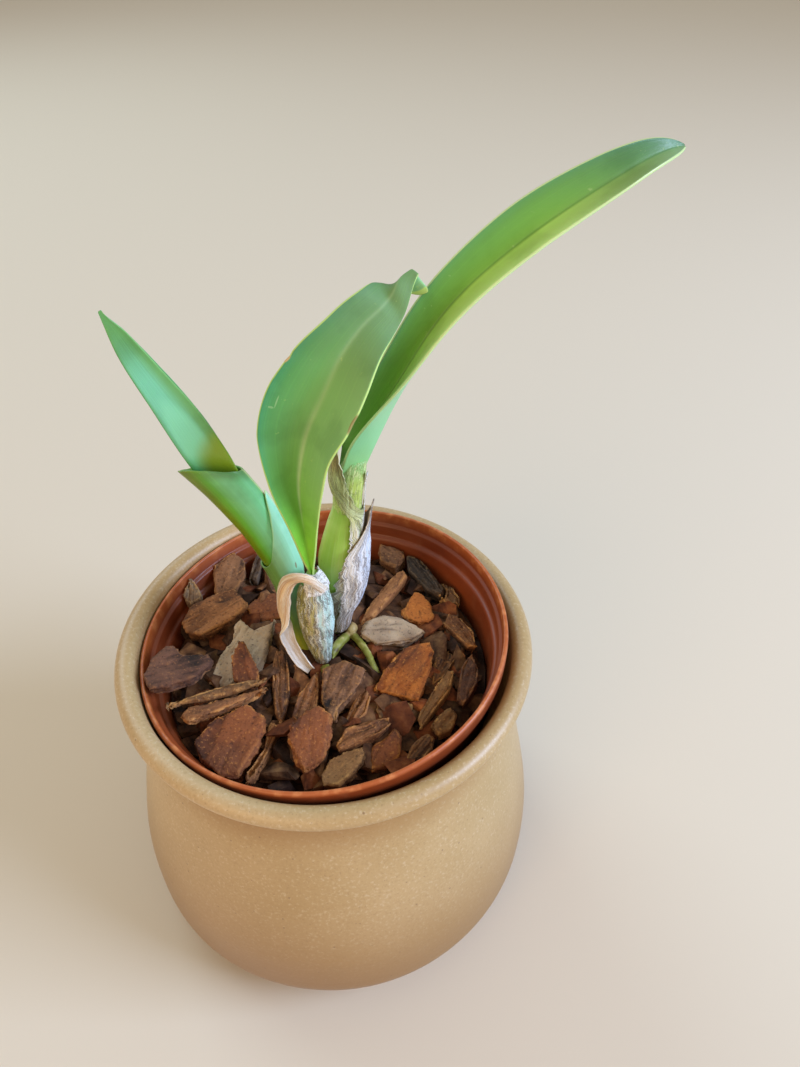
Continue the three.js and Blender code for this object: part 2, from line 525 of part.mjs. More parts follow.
// One small chip: a broken block whose corners are shifted at random.
function smallChip(random, place) {
  const between = ([low, high]) => low + (high - low) * random();
  const half = [between(BED.length) / 2, between(BED.width) / 2, between(BED.thickness) / 2];
  const drawnIn = () => 1 - BED.shrink * random();
  const corners = [];
  for (const x of [-1, 1]) {
    for (const y of [-1, 1]) {
      for (const z of [-1, 1]) {
        corners.push(vector([half[0] * x * drawnIn(), half[1] * y * drawnIn(), half[2] * z * drawnIn()]));
      }
    }
  }
  const [tiltX, tiltY] = BED.tilt.map((range) => (random() - 0.5) * range);
  const tilt = new THREE.Euler(tiltX, tiltY, random() * 2 * Math.PI, 'ZYX');
  const matrix = new THREE.Matrix4().makeRotationFromEuler(tilt).setPosition(place);
  return solid(new ConvexGeometry(corners.map((corner) => corner.applyMatrix4(matrix))));
}

// All the bark in one body: the fill down to the pot's floor, with small chips lying half sunk on its mound.
function barkBed(room) {
  const random = randomFrom(BED.seed);
  const [foot] = BED.mound[BED.mound.length - 1];
  const fill = turned([[0, BED.fillTop], [foot, BED.fillTop], ...BED.mound.slice().reverse()], BED.sides);
  const chips = [];
  for (let i = 0; i < BED.places; i += 1) {
    const radius = BED.reach * Math.sqrt((i + 0.5) / BED.places);
    const angle = i * GOLDEN_ANGLE + BED.wander * random();
    const place = new THREE.Vector3(radius * Math.cos(angle), radius * Math.sin(angle), 0);
    const rise = THREE.MathUtils.lerp(...BED.rise, random());
    place.z = BED.mound[0][1] - BED.sag * radius * radius + rise;
    if (!CHIPS.some((chip) => surrounds(chip.outline, place))) chips.push(smallChip(random, place));
  }
  return join([fill, ...chips]).intersect(room);
}

// ---------------------------------------------------------------------------------------------------
// Plant
// ---------------------------------------------------------------------------------------------------

// A leaf blade as a wall between its underside and its upper face.
function leafBlade(leaf) {
  const curve = new THREE.CatmullRomCurve3(leaf.midrib.map(vector), false, 'catmullrom', 0.5);
  const under = [];
  const upper = [];
  for (let i = 0; i < LEAF_STEPS; i += 1) {
    const t = i / (LEAF_STEPS - 1);
    const centre = curve.getPointAt(t);
    const forward = curve.getTangentAt(t);
    const front = new THREE.Vector3(0, -1, 0);
    front.addScaledVector(forward, -front.dot(forward)).normalize();
    const right = new THREE.Vector3().crossVectors(forward, front);
    const turn = radians(along(leaf.turn, t));
    const face = front.clone().multiplyScalar(Math.cos(turn)).addScaledVector(right, Math.sin(turn));
    const side = right.clone().multiplyScalar(Math.cos(turn)).addScaledVector(front, -Math.sin(turn));
    const fold = radians(along(leaf.fold, t));
    const pastShoulder = leaf.tip ? Math.max((t - 1 + leaf.tip) / leaf.tip, 0) : 0;
    const half = Math.max(along(leaf.halfWidth, t) * Math.sqrt(1 - pastShoulder ** 2), LEAF_LIMITS.half);
    const wide = half * Math.cos(fold);
    const high = half * Math.sin(fold);
    const margin = leaf.edge * Math.cos(fold);
    const wideInside = Math.max(wide - leaf.edge * Math.sin(fold), LEAF_LIMITS.inside);
    const keel = Math.min(leaf.middle / Math.cos(fold), LEAF_LIMITS.keel * Math.abs(high) + margin);
    const longer = 1 + ((leaf.flap ?? 0) / half) * THREE.MathUtils.smoothstep(t, FLAP.from, FLAP.to);
    const place = (across, up) => centre.clone().addScaledVector(side, across).addScaledVector(face, up);
    const sheet = (reach, low, top) => LEAF_ACROSS.map((k) => {
      const stretch = k < 0 ? longer : 1;
      const lift = THREE.MathUtils.lerp(low, top, Math.abs(k) ** LEAF_ROUNDING * stretch);
      return place(reach * k * stretch, lift);
    });
    under.push(sheet(wide, 0, high));
    upper.push(sheet(wideInside, keel, high + margin));
  }
  return solid(wall(under, upper, false));
}

function ringAround(x, y, z, halfX, halfY, sides) {
  return Array.from({ length: sides }, (_, j) => {
    const angle = (2 * Math.PI * j) / sides;
    return new THREE.Vector3(x + halfX * Math.cos(angle), y + halfY * Math.sin(angle), z);
  });
}

function pseudobulb(rows, grow) {
  const rings = rows.map(([z, x, y, radius]) => ringAround(x, y, z, radius + grow, radius + grow, BULB_SIDES));
  rings[0].forEach((point) => point.setZ(point.z - grow));
  rings[rings.length - 1].forEach((point) => point.setZ(point.z + grow));
  return solid(loft(rings));
}

// A papery sheath wrapped part of the way round a pseudobulb.
function sheath(rows, bulb, layer) {
  const low = rows[0][0];
  const high = rows[rows.length - 1][0];
  const heights = [...rows, ...bulb].map((row) => row[0]).filter((z) => z >= low && z <= high);
  const steps = [...new Set(heights)].sort((a, b) => a - b);
  const sheet = (offset) => steps.map((z) => {
    const [start, end, off] = rowAt(rows, z);
    const [x, y, radius] = rowAt(bulb, z);
    return Array.from({ length: SHEATH.columns }, (__, j) => {
      const angle = radians(start + ((end - start) * j) / (SHEATH.columns - 1));
      const reach = radius + offset + off * Math.max(Math.cos(angle), 0) ** SHEATH.hug;
      return new THREE.Vector3(x + reach * Math.cos(angle), y + reach * Math.sin(angle), z);
    });
  });
  const inner = SHEATH.gap + layer * (SHEATH.gap + SHEATH.wall);
  return solid(wall(sheet(inner + SHEATH.wall), sheet(inner), false));
}

// The height of a sleeve's rim at an angle, highest towards one side.
function rimHeight(rim, angle) {
  return rim.low + rim.rise * (0.5 + 0.5 * Math.cos(angle - radians(rim.towards))) ** 2;
}

// A closed sleeve round the new shoot. With no gap, its outer face follows the rows of SHOOT.
function sleeve(rim) {
  const offset = rim.gap ? rim.gap + rim.wall : 0;
  const sheet = (out) => Array.from({ length: SHOOT_ROWS + 1 }, (_, i) => {
    return Array.from({ length: SHOOT_SIDES }, (__, j) => {
      const angle = (2 * Math.PI * j) / SHOOT_SIDES;
      const t = i / SHOOT_ROWS;
      const z = THREE.MathUtils.lerp(rim.bottom, rimHeight(rim, angle), t);
      const [x, y, halfX, halfY] = rowAt(SHOOT, z);
      const flare = rim.flare * t ** rim.bend * Math.max(-Math.cos(angle), 0);
      const reach = out + flare;
      return new THREE.Vector3(x + (halfX + reach) * Math.cos(angle), y + (halfY + out) * Math.sin(angle), z);
    });
  });
  return solid(wall(sheet(offset), sheet(offset - rim.wall), true));
}

// The outside of the whole shoot as one filled solid, for cutting room in the bark.
function shootRoom(grow) {
  const rows = SHOOT.filter(([z]) => z < SHOOT_IN_BARK);
  const reach = SHOOT_SHEATH.gap + SHOOT_SHEATH.wall + grow;
  const rings = rows.map(([z, x, y, halfX, halfY]) => {
    return ringAround(x, y, z, halfX + reach, halfY + reach, SHOOT_SIDES);
  });
  rings[0].forEach((point) => point.setZ(SHOOT_SHEATH.bottom - grow));
  return solid(loft(rings));
}

// The bract: a strip that is bent across its width and follows its path.
function bract(grow) {
  const curve = new THREE.CatmullRomCurve3(BRACT.path.map(vector));
  const sheet = (offset) => Array.from({ length: BRACT.rows + 1 }, (_, i) => {
    const t = i / BRACT.rows;
    const centre = curve.getPointAt(t);
    const forward = curve.getTangentAt(t);
    const outward = new THREE.Vector3(centre.x - BRACT.around[0], centre.y - BRACT.around[1], 0).normalize();
    outward.addScaledVector(forward, -outward.dot(forward)).normalize();
    const side = new THREE.Vector3().crossVectors(forward, outward);
    const half = along(BRACT.halfWidth, t);
    return BRACT_ACROSS.map((k) => {
      const bend = radians(BRACT.curl * k);
      const reach = half / Math.sin(radians(BRACT.curl));
      const across = (reach + offset) * Math.sin(bend) + k * grow;
      const up = (reach + offset) * Math.cos(bend) - reach;
      return centre.clone().addScaledVector(side, across).addScaledVector(outward, up);
    });
  });
  return solid(wall(sheet(BRACT.thick + grow), sheet(-grow), false));
}

function rhizome(grow) {
  const knob = new THREE.SphereGeometry(KNOB.radius + grow, ROOT_SIDES, 6).translate(...KNOB.centre);
  return join([...RHIZOME.map((root) => bar(root, grow)), solid(knob)]);
}

// ---------------------------------------------------------------------------------------------------
// Assembly
// ---------------------------------------------------------------------------------------------------

const group = new THREE.Group();

function addPiece(name, body, tone) {
  const mesh = body.getMesh();
  const geometry = new THREE.BufferGeometry();
  geometry.setAttribute('position', new THREE.BufferAttribute(Float32Array.from(mesh.vertProperties), 3));
  geometry.setIndex(new THREE.BufferAttribute(Uint32Array.from(mesh.triVerts), 1));
  geometry.computeVertexNormals();
  const [color, roughness] = COLOURS[tone];
  const piece = new THREE.Mesh(geometry, new THREE.MeshStandardMaterial({ color, roughness, metalness: 0 }));
  piece.name = name;
  group.add(piece);
}

const pot = nurseryPot();
addPiece('cover_pot', coverPot(), 'stoneware');
addPiece('nursery_pot', pot, 'plastic');

addPiece('pseudobulb_front', pseudobulb(BULB_FRONT, 0), 'bulb');
addPiece('pseudobulb_back', pseudobulb(BULB_BACK, 0), 'bulb');
addPiece('sheath_front', sheath(SHEATH_FRONT, BULB_FRONT, 0), 'papery');
addPiece('sheath_back', sheath(SHEATH_BACK, [...BULB_BACK, ...FOOT_BACK], 0), 'papery');
addPiece('sheath_back_outer', sheath(SHEATH_OUTER, BULB_BACK, 1), 'papery');
addPiece('bract_curled', bract(0), 'straw');
addPiece('leaf_long', leafBlade(LEAF_LONG), 'leaf');
addPiece('leaf_broad', leafBlade(LEAF_BROAD), 'leaf');
addPiece('leaf_new', leafBlade(LEAF_NEW), 'fresh');
addPiece('leaf_second', sleeve(SLEEVE), 'fresh');
addPiece('shoot_sheath', sleeve(SHOOT_SHEATH), 'fresh');

// The stems with their sheaths stand in the rhizome and the bark in plain sockets.
const layers = SHEATH.gap + SHEATH.wall;
const stems = [
  pseudobulb(BULB_FRONT, layers + CLEAR),
  pseudobulb(BULB_BACK, 2 * layers + CLEAR),
  shootRoom(CLEAR),
  bract(CLEAR),
  bract(CLEAR).translate([0, 0, -CLEAR]),
];
addPiece('rhizome_roots', largest(cut(rhizome(0), stems)), 'root');

const plant = [...stems, rhizome(CLEAR)];
const room = nurseryRoom();
const above = [];
CHIPS.forEach((chip, i) => {
  const whole = largeChip(chip, i, 0);
  const inPot = i === 0 ? whole : whole.intersect(room);
  const body = largest(cut(inPot, [...plant, ...above]));
  addPiece(`bark_chip_${String(i + 1).padStart(2, '0')}`, body, chip.tone);
  above.push(largeChip(chip, i, CLEAR));
});
addPiece('bark_bed', largest(cut(barkBed(room), [...plant, ...above])), 'bed');

export default group;
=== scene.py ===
# %% [markdown]
# # A potted cattleya orchid
# This lesson dresses a plain solid model of a young orchid. The frame holds the solids, one node for each piece, in
# metres. Each cell below makes one piece or one finish: the two pots, the bark, the leaves, the swollen stems with
# their papery sheaths, the new shoot and the roots.

# %% Load the solid model
import json
import math
import random

import bmesh
import bpy
import numpy as np
from mathutils import Matrix, Vector, noise


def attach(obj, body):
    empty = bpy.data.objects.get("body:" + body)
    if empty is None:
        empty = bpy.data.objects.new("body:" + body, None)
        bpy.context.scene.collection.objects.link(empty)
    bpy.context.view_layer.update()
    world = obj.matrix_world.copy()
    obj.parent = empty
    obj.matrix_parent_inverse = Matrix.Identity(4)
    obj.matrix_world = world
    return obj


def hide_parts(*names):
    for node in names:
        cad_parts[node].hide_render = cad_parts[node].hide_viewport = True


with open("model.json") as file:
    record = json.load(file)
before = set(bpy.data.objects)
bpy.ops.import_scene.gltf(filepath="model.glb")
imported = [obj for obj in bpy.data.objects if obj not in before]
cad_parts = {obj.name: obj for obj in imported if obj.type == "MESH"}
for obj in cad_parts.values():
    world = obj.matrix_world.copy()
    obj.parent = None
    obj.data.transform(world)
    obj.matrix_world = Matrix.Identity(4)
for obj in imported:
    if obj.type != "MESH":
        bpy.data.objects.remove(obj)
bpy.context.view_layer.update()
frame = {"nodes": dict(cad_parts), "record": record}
NODES = frame["nodes"]
MM = 0.001

# %% [markdown]
# ## The camera
# The plant is seen from above the front rim, about 42 degrees down and 8 degrees towards the right. The camera is
# turned by building its three axes from those angles, which is easier to read than three Euler angles.

# %% Camera
CAMERA_PLACE = Vector((0, -176.4, 319)) * MM
CAMERA_YAW = math.radians(7.9)  # to the right of +Y
CAMERA_PITCH = math.radians(41.78)  # below the horizon
CAMERA_ROLL = math.radians(-0.25)
CAMERA_LENS = 26.99  # millimetres on a 36 mm sensor, along the picture's height

level_right = Vector((math.cos(CAMERA_YAW), -math.sin(CAMERA_YAW), 0))
ahead = Vector((math.sin(CAMERA_YAW) * math.cos(CAMERA_PITCH), math.cos(CAMERA_YAW) * math.cos(CAMERA_PITCH),
                -math.sin(CAMERA_PITCH)))
level_up = level_right.cross(ahead)
right = level_right * math.cos(CAMERA_ROLL) - level_up * math.sin(CAMERA_ROLL)
up = level_up * math.cos(CAMERA_ROLL) + level_right * math.sin(CAMERA_ROLL)
camera_data = bpy.data.cameras.new("camera")
camera_data.lens = CAMERA_LENS
camera_data.sensor_width = 36
camera_data.clip_start = 0.01
camera = bpy.data.objects.new("camera", camera_data)
camera.matrix_world = Matrix.Translation(CAMERA_PLACE) @ Matrix((right, up, -ahead)).transposed().to_4x4()
bpy.context.scene.collection.objects.link(camera)
bpy.context.scene.camera = camera
print("camera looks along", [round(value, 3) for value in ahead])

# %% [markdown]
# ## Small helpers
# Shader trees and geometry trees are both built from nodes and links. One helper makes a node, and either fills each
# input with a value or links another node's output to it. An output is wrapped as a Wire, so that a sum of outputs
# can be written as a sum. Colours are web colours, turned into the linear numbers that Blender works with.

# %% Helpers for node trees and colours
def colour(web):
    """A web colour such as "a05a2c" as linear red, green, blue and alpha."""
    parts = [int(web[i:i + 2], 16) / 255 for i in (0, 2, 4)]
    linear = [part / 12.92 if part <= 0.04045 else ((part + 0.055) / 1.055) ** 2.4 for part in parts]
    return (*linear, 1.0)


def node(tree, kind, inputs=None, **settings):
    """Adds a node. An input takes a plain value, a web colour, or the Wire of another node."""
    made = tree.nodes.new(kind)
    for key, value in settings.items():
        setattr(made, key, value)
    for key, value in (inputs or {}).items():
        link(value, made.inputs[key])
    return Outputs(made)


def link(value, socket):
    """Links a Wire to an input, or writes a plain value or a web colour there."""
    if isinstance(value, Wire):
        value.tree.links.new(value.socket, socket)
    elif socket.type == "RGBA" and isinstance(value, str):
        socket.default_value = colour(value)
    else:
        socket.default_value = value


class Outputs:
    """The outputs of a node, read as Wires by number or name."""

    def __init__(self, made):
        self.made = made

    def __getitem__(self, key):
        return Wire(self.made.outputs[key])


class Wire:
    """An output of a node. Each sum, step or blend with it adds one more node to its tree."""

    def __init__(self, socket):
        self.socket = socket
        self.tree = socket.id_data

    def math(self, operation, other=0.0):
        return node(self.tree, "ShaderNodeMath", {0: self, 1: other}, operation=operation)[0]

    def __add__(self, other):
        return self.math("ADD", other)

    def __sub__(self, other):
        return self.math("SUBTRACT", other)

    def __mul__(self, other):
        return self.math("MULTIPLY", other)

    def __truediv__(self, other):
        return self.math("DIVIDE", other)

    def vector(self, operation, other=(0, 0, 0)):
        """A Vector Math node: a number for a dot product, length or distance, and otherwise a vector."""
        key = "Scale" if operation == "SCALE" else 1
        made = node(self.tree, "ShaderNodeVectorMath", {0: self, key: other}, operation=operation)
        return made[1 if operation in ("DOT_PRODUCT", "LENGTH", "DISTANCE") else 0]

    def steps(self, low, high):
        """A smooth rise from 0 at low to 1 at high."""
        inputs = {"Value": self, "From Min": low, "From Max": high}
        return node(self.tree, "ShaderNodeMapRange", inputs, interpolation_type="SMOOTHSTEP")[0]

    def ramp(self, *stops):
        """A colour ramp from stops of (place, web colour) or (place, grey)."""
        made = node(self.tree, "ShaderNodeValToRGB", {0: self})
        marks = made.made.color_ramp.elements
        while len(marks) < len(stops):
            marks.new(1.0)
        for mark, (place, shade) in zip(marks, stops):
            mark.position = place
            mark.color = colour(shade) if isinstance(shade, str) else (shade, shade, shade, 1)
        return made[0]

    def under(self, shade, factor, mode="MIX"):
        """This colour with another laid over it, where the factor is 1."""
        inputs = {0: factor, 6: self, 7: shade}
        return node(self.tree, "ShaderNodeMix", inputs, data_type="RGBA", blend_type=mode)[2]

    def parts(self):
        """The parts of a vector."""
        made = node(self.tree, "ShaderNodeSeparateXYZ", {0: self})
        return made[0], made[1], made[2]


print("helpers ready; mid grey is", round(colour("808080")[0], 3))

# %% [markdown]
# ## Noise and finishes
# No finish of a plant or a fired pot is even, so nearly every colour below is mixed by noise. The noise is read at
# the place on the object itself, in metres, so its grain has a real size and stays with the piece. An image texture
# would have to be painted and unwrapped for each piece. Every finish ends in the same step, which links its colour,
# its relief and sometimes its roughness to the shader.

# %% Helpers for finishes
def noise_of(place, scale, detail, rough=0.6, size=None):
    """Noise at a place, which may be sized along each axis first."""
    if size:
        place = node(place.tree, "ShaderNodeMapping", {"Vector": place, "Scale": size})[0]
    inputs = {"Vector": place, "Scale": scale, "Detail": detail, "Roughness": rough}
    return node(place.tree, "ShaderNodeTexNoise", inputs)["Fac"]


def object_place(tree):
    """The place on the object itself, in metres."""
    return node(tree, "ShaderNodeTexCoord")["Object"]


def object_noise(tree, scale, detail, stretch=(1, 1, 1)):
    """Noise on the object's own coordinates, with a size for each axis."""
    return noise_of(object_place(tree), scale, detail, rough=0.55, size=stretch)


def stored(tree, name, output="Fac"):
    """A value that a mesh keeps at its points."""
    return node(tree, "ShaderNodeAttribute", attribute_name=name)[output]


def new_material(name, roughness, **sockets):
    """An empty material with one Principled shader. Returns the material, its tree and the shader's inputs."""
    material = bpy.data.materials.new(name)
    material.use_nodes = True
    inputs = material.node_tree.nodes["Principled BSDF"].inputs
    inputs["Roughness"].default_value = roughness
    for key, value in sockets.items():
        inputs[key.replace("_", " ")].default_value = value
    return material, material.node_tree, inputs


def paint(inputs, body, relief, strength, depth, roughness=None):
    """Links a colour, a relief of some depth, and perhaps a roughness to a shader's inputs."""
    link(body, inputs["Base Color"])
    if roughness:
        link(roughness, inputs["Roughness"])
    link(node(body.tree, "ShaderNodeBump", {"Height": relief, "Strength": strength, "Distance": depth})[0],
         inputs["Normal"])


print("finish helpers ready")

# %% [markdown]
# ## Floor and light
# The floor and the world are plain and pale. Three large soft lamps light the pot: a cool one on the right stands
# for the window, a warm one low on the left for the room, and a cool weak one behind for the sky that the leaves
# mirror. They stand well away, so that the floor is lit evenly.

# %% Floor and lights
scene = bpy.context.scene
scene.view_settings.view_transform = "Standard"
LIT_POINT = Vector((0, 0, 0.15))  # every lamp faces the bark


def soft_light(name, place, size, power, tint):
    """A square light that faces the top of the pot."""
    data = bpy.data.lights.new(name, "AREA")
    data.size = size
    data.energy = power
    data.color = colour(tint)[:3]
    lamp = bpy.data.objects.new(name, data)
    lamp.location = place
    lamp.rotation_euler = (LIT_POINT - Vector(place)).to_track_quat("-Z", "Y").to_euler()
    scene.collection.objects.link(lamp)


soft_light("window_light", (1.45, -0.55, 0.95), 0.9, 39, "c8dcff")
soft_light("room_light", (-1.0, -1.35, 0.8), 1.2, 13, "ffd09a")
soft_light("sky_light", (-0.8, 1.1, 1.2), 1.0, 10, "d6efff")

world = bpy.data.worlds.new("room")
world.use_nodes = True
world.node_tree.nodes["Background"].inputs["Color"].default_value = colour("f3eadb")
world.node_tree.nodes["Background"].inputs["Strength"].default_value = 0.55
scene.world = world

floor_mesh = bpy.data.meshes.new("floor")
floor_mesh.from_pydata([(-6, -6, 0), (6, -6, 0), (6, 6, 0), (-6, 6, 0)], [], [(0, 1, 2, 3)])
floor = bpy.data.objects.new("floor", floor_mesh)
scene.collection.objects.link(floor)
floor_material, _, floor_inputs = new_material("pale_floor", 0.85)
floor_inputs["Base Color"].default_value = colour("d6ccba")
floor_mesh.materials.append(floor_material)

# %% [markdown]
# ## Curves and plain meshes
# Every outline below is a few measured points with a smooth curve through them. A Catmull-Rom curve passes through
# its points, so they can be written down as measured, where the handles of a Bezier curve would have to be tuned.
# The other helpers move points between numpy, an editable mesh and the scene.

# %% Helpers for curves and meshes
def catmull(a, b, c, d, f):
    """A point between b and c, on a Catmull-Rom curve through four points."""
    slope_in, slope_out = (c - a) / 2, (d - b) / 2
    return (2 * b - 2 * c + slope_in + slope_out) * f ** 3 + (3 * c - 3 * b - 2 * slope_in - slope_out) * f ** 2 \
        + slope_in * f + b


def ease(t):
    """A smooth rise from 0 to 1."""
    return t * t * (3 - 2 * t)


def unit(rows):
    """The rows of an array as directions of length 1."""
    return rows / np.linalg.norm(rows, axis=1, keepdims=True)


def smooth(values, t):
    """Reads an evenly spaced list at t from 0 to 1, on a smooth curve through its values."""
    values = np.asarray(values, float)
    place = np.clip(t, 0, 1) * (len(values) - 1)
    start = np.minimum(place.astype(int), len(values) - 2)
    ends = np.concatenate([values[:1], values, values[-1:]])
    return catmull(*(ends[start + k] for k in range(4)), place - start)


def path_points(points, count):
    """Evenly spaced points and directions along a smooth path in space."""
    points = np.asarray(points, float) * MM
    ends = np.vstack([2 * points[0] - points[1], points, 2 * points[-1] - points[-2]])
    f = np.linspace(0, 1, 60, endpoint=False)[:, None]
    fine = np.vstack([*(catmull(*ends[i:i + 4], f) for i in range(len(points) - 1)), points[-1:]])
    length = np.concatenate([[0], np.cumsum(np.linalg.norm(np.diff(fine, axis=0), axis=1))])
    even = np.linspace(0, length[-1], count)
    centres = np.stack([np.interp(even, length, fine[:, k]) for k in range(3)], axis=1)
    return centres, unit(np.gradient(centres, axis=0))


def straight_at(rows, heights):
    """Reads rows of [height, ...] at several heights, on straight lines between them."""
    rows = np.asarray(rows, float)
    return [np.interp(heights, rows[:, 0], rows[:, k]) for k in range(1, rows.shape[1])]


def rows_at(rows, heights):
    """Reads rows of [height, ...] at several heights, on smooth curves."""
    rows = np.asarray(rows, float)
    fine = np.linspace(0, 1, 40 * len(rows))
    return straight_at(np.stack([smooth(column, fine) for column in rows.T], axis=1), heights)


def mesh_from(name, work):
    """Turns an editable mesh into a plain one."""
    mesh = bpy.data.meshes.new(name)
    work.to_mesh(mesh)
    work.free()
    return mesh


def points_of(mesh):
    """The points of a mesh as an array."""
    points = np.empty(len(mesh.vertices) * 3)
    mesh.vertices.foreach_get("co", points)
    return points.reshape(-1, 3)


def face_out(mesh):
    """Turns the faces of a closed mesh outwards."""
    work = bmesh.new()
    work.from_mesh(mesh)
    if work.calc_volume(signed=True) < 0:
        bmesh.ops.reverse_faces(work, faces=work.faces)
        work.to_mesh(mesh)
    work.free()


def new_piece(name, mesh):
    """Puts a mesh into the scene."""
    piece = bpy.data.objects.new(name, mesh)
    scene.collection.objects.link(piece)
    return piece


print("half way between 1 and 2 on a curve through 0, 1, 2 and 5:", catmull(0, 1, 2, 5, 0.5))

# %% [markdown]
# ## Meshes from rows of points
# Most pieces of a plant are sheets: a leaf blade, a sheath, a bract. Such a piece is easiest to make as two grids of
# points, an outer and an inner one, that are closed along their edges. Numpy holds a grid as one array, so a whole
# sheet is bent with a single formula. Each point also keeps where it lies across (u) and along (v) the sheet, for
# the materials, and whether it is on the outer or the inner side.

# %% Helpers for sheets
def keep(mesh, name, values):
    """Keeps a number for each point of a mesh, where a finish can read it."""
    mesh.attributes.new(name, "FLOAT", "POINT").data.foreach_set("value", np.asarray(values, np.float32))


def finish_mesh(name, points, faces, corner_uv, side=None, levels=0):
    """Makes an object from points and faces, with its faces pointing out, smooth shading and a UV map."""
    mesh = bpy.data.meshes.new(name)
    mesh.from_pydata([tuple(point) for point in points], [], faces)
    mesh.uv_layers.new(name="UVMap").data.foreach_set("uv", np.asarray(corner_uv, np.float32).ravel())
    if side is not None:
        keep(mesh, "side", side)
    face_out(mesh)
    mesh.polygons.foreach_set("use_smooth", [True] * len(mesh.polygons))
    piece = new_piece(name, mesh)
    if levels:
        rounding = piece.modifiers.new("rounding", "SUBSURF")
        rounding.levels = levels
        rounding.render_levels = levels
    return piece


def sheet_piece(name, outer, inner, around=False, levels=1):
    """A closed wall between two grids of points, with UVs across and along it."""
    rows, columns = outer.shape[:2]
    points = np.vstack([outer.reshape(-1, 3), inner.reshape(-1, 3)])
    faces, corner_uv = [], []

    def quad(*corners):
        faces.append([layer * rows * columns + i * columns + j % columns for i, j, layer in corners])
        corner_uv.extend([(j / (columns - (not around)), i / (rows - 1)) for i, j, _ in corners])

    spans = columns if around else columns - 1
    for j in range(spans):
        for i in range(rows - 1):
            quad((i, j, 0), (i, j + 1, 0), (i + 1, j + 1, 0), (i + 1, j, 0))
            quad((i, j, 1), (i + 1, j, 1), (i + 1, j + 1, 1), (i, j + 1, 1))
        quad((0, j + 1, 0), (0, j, 0), (0, j, 1), (0, j + 1, 1))
        quad((rows - 1, j, 0), (rows - 1, j + 1, 0), (rows - 1, j + 1, 1), (rows - 1, j, 1))
    for i in range(0 if around else rows - 1):
        quad((i, 0, 0), (i + 1, 0, 0), (i + 1, 0, 1), (i, 0, 1))
        quad((i + 1, spans, 0), (i, spans, 0), (i, spans, 1), (i + 1, spans, 1))
    side = np.repeat([0.0, 1.0], rows * columns)
    return finish_mesh(name, points, faces, corner_uv, side, levels)


def place_piece(piece, material, slot, *nodes):
    """Gives a finished piece its material, hangs it under the root and hides the solids that it replaces. Its slot is
    not used.
    """
    if material:
        piece.data.materials.clear()
        piece.data.materials.append(material)
    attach(piece, "root")
    if nodes:
        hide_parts(*nodes)
    print(f"{piece.name}: {len(piece.data.polygons)} faces")


print("sheet helpers ready")

# %% [markdown]
# ## Geometry trees
# Three trees of geometry nodes do work that would be slow by hand: one turns the pots, one carves the bark and one
# strews the litter. They are built like the shader trees, run once as a modifier, and applied, so that each piece
# ends as a plain mesh that can be exported.

# %% Helpers for geometry trees
def new_tree(name, **sockets):
    """An empty geometry tree with a geometry going in and out, and its other inputs. Returns it and its inputs."""
    tree = bpy.data.node_groups.new(name, "GeometryNodeTree")
    for label, kind in {"Geometry": "Geometry", **sockets}.items():
        tree.interface.new_socket(label.replace("_", " "), in_out="INPUT", socket_type="NodeSocket" + kind)
    tree.interface.new_socket("Geometry", in_out="OUTPUT", socket_type="NodeSocketGeometry")
    return tree, node(tree, "NodeGroupInput")


def store(geometry, name, value, kind="FLOAT", domain="POINT"):
    """Keeps a value on a geometry under a name."""
    return node(geometry.tree, "GeometryNodeStoreNamedAttribute", {0: geometry, "Name": name, "Value": value},
                data_type=kind, domain=domain)[0]


def finish_tree(geometry, material=None, smooth=True):
    """Shades a geometry, makes its instances real, paints it, and sends it out of its tree."""
    tree = geometry.tree
    if smooth:
        geometry = node(tree, "GeometryNodeSetShadeSmooth", {0: geometry})[0]
    geometry = node(tree, "GeometryNodeRealizeInstances", {0: geometry})[0]
    if material:
        geometry = node(tree, "GeometryNodeSetMaterial", {0: geometry, "Material": material})[0]
    node(tree, "NodeGroupOutput", {0: geometry})
    return tree


def baked(piece):
    """Applies a piece's modifiers."""
    graph = bpy.context.evaluated_depsgraph_get()
    piece.data = bpy.data.meshes.new_from_object(piece.evaluated_get(graph), depsgraph=graph)
    piece.modifiers.clear()
    return piece


def run_tree(name, tree, start, **values):
    """Runs a geometry tree on a mesh, and returns the result as a plain mesh object."""
    holder = new_piece(name, start)
    modifier = holder.modifiers.new("nodes", "NODES")
    modifier.node_group = tree
    sockets = {item.name: item.identifier for item in tree.interface.items_tree if item.in_out == "INPUT"}
    for key, value in values.items():
        modifier[sockets[key.replace("_", " ")]] = value
    face_out(baked(holder).data)
    return holder


print("geometry tree helpers ready")

# %% [markdown]
# ## The pots are turned
# A thrown pot and a moulded one are both round, so each is its own profile swept about the vertical axis. In Geometry
# Nodes, a grid is bent into that shape: each row of the grid takes its radius and height from one point of the
# profile, and each column is one step round the axis. A little noise on the radius makes the stoneware look
# hand-thrown. The Spin tool or a Screw modifier would also turn a profile, but they can't vary the radius.

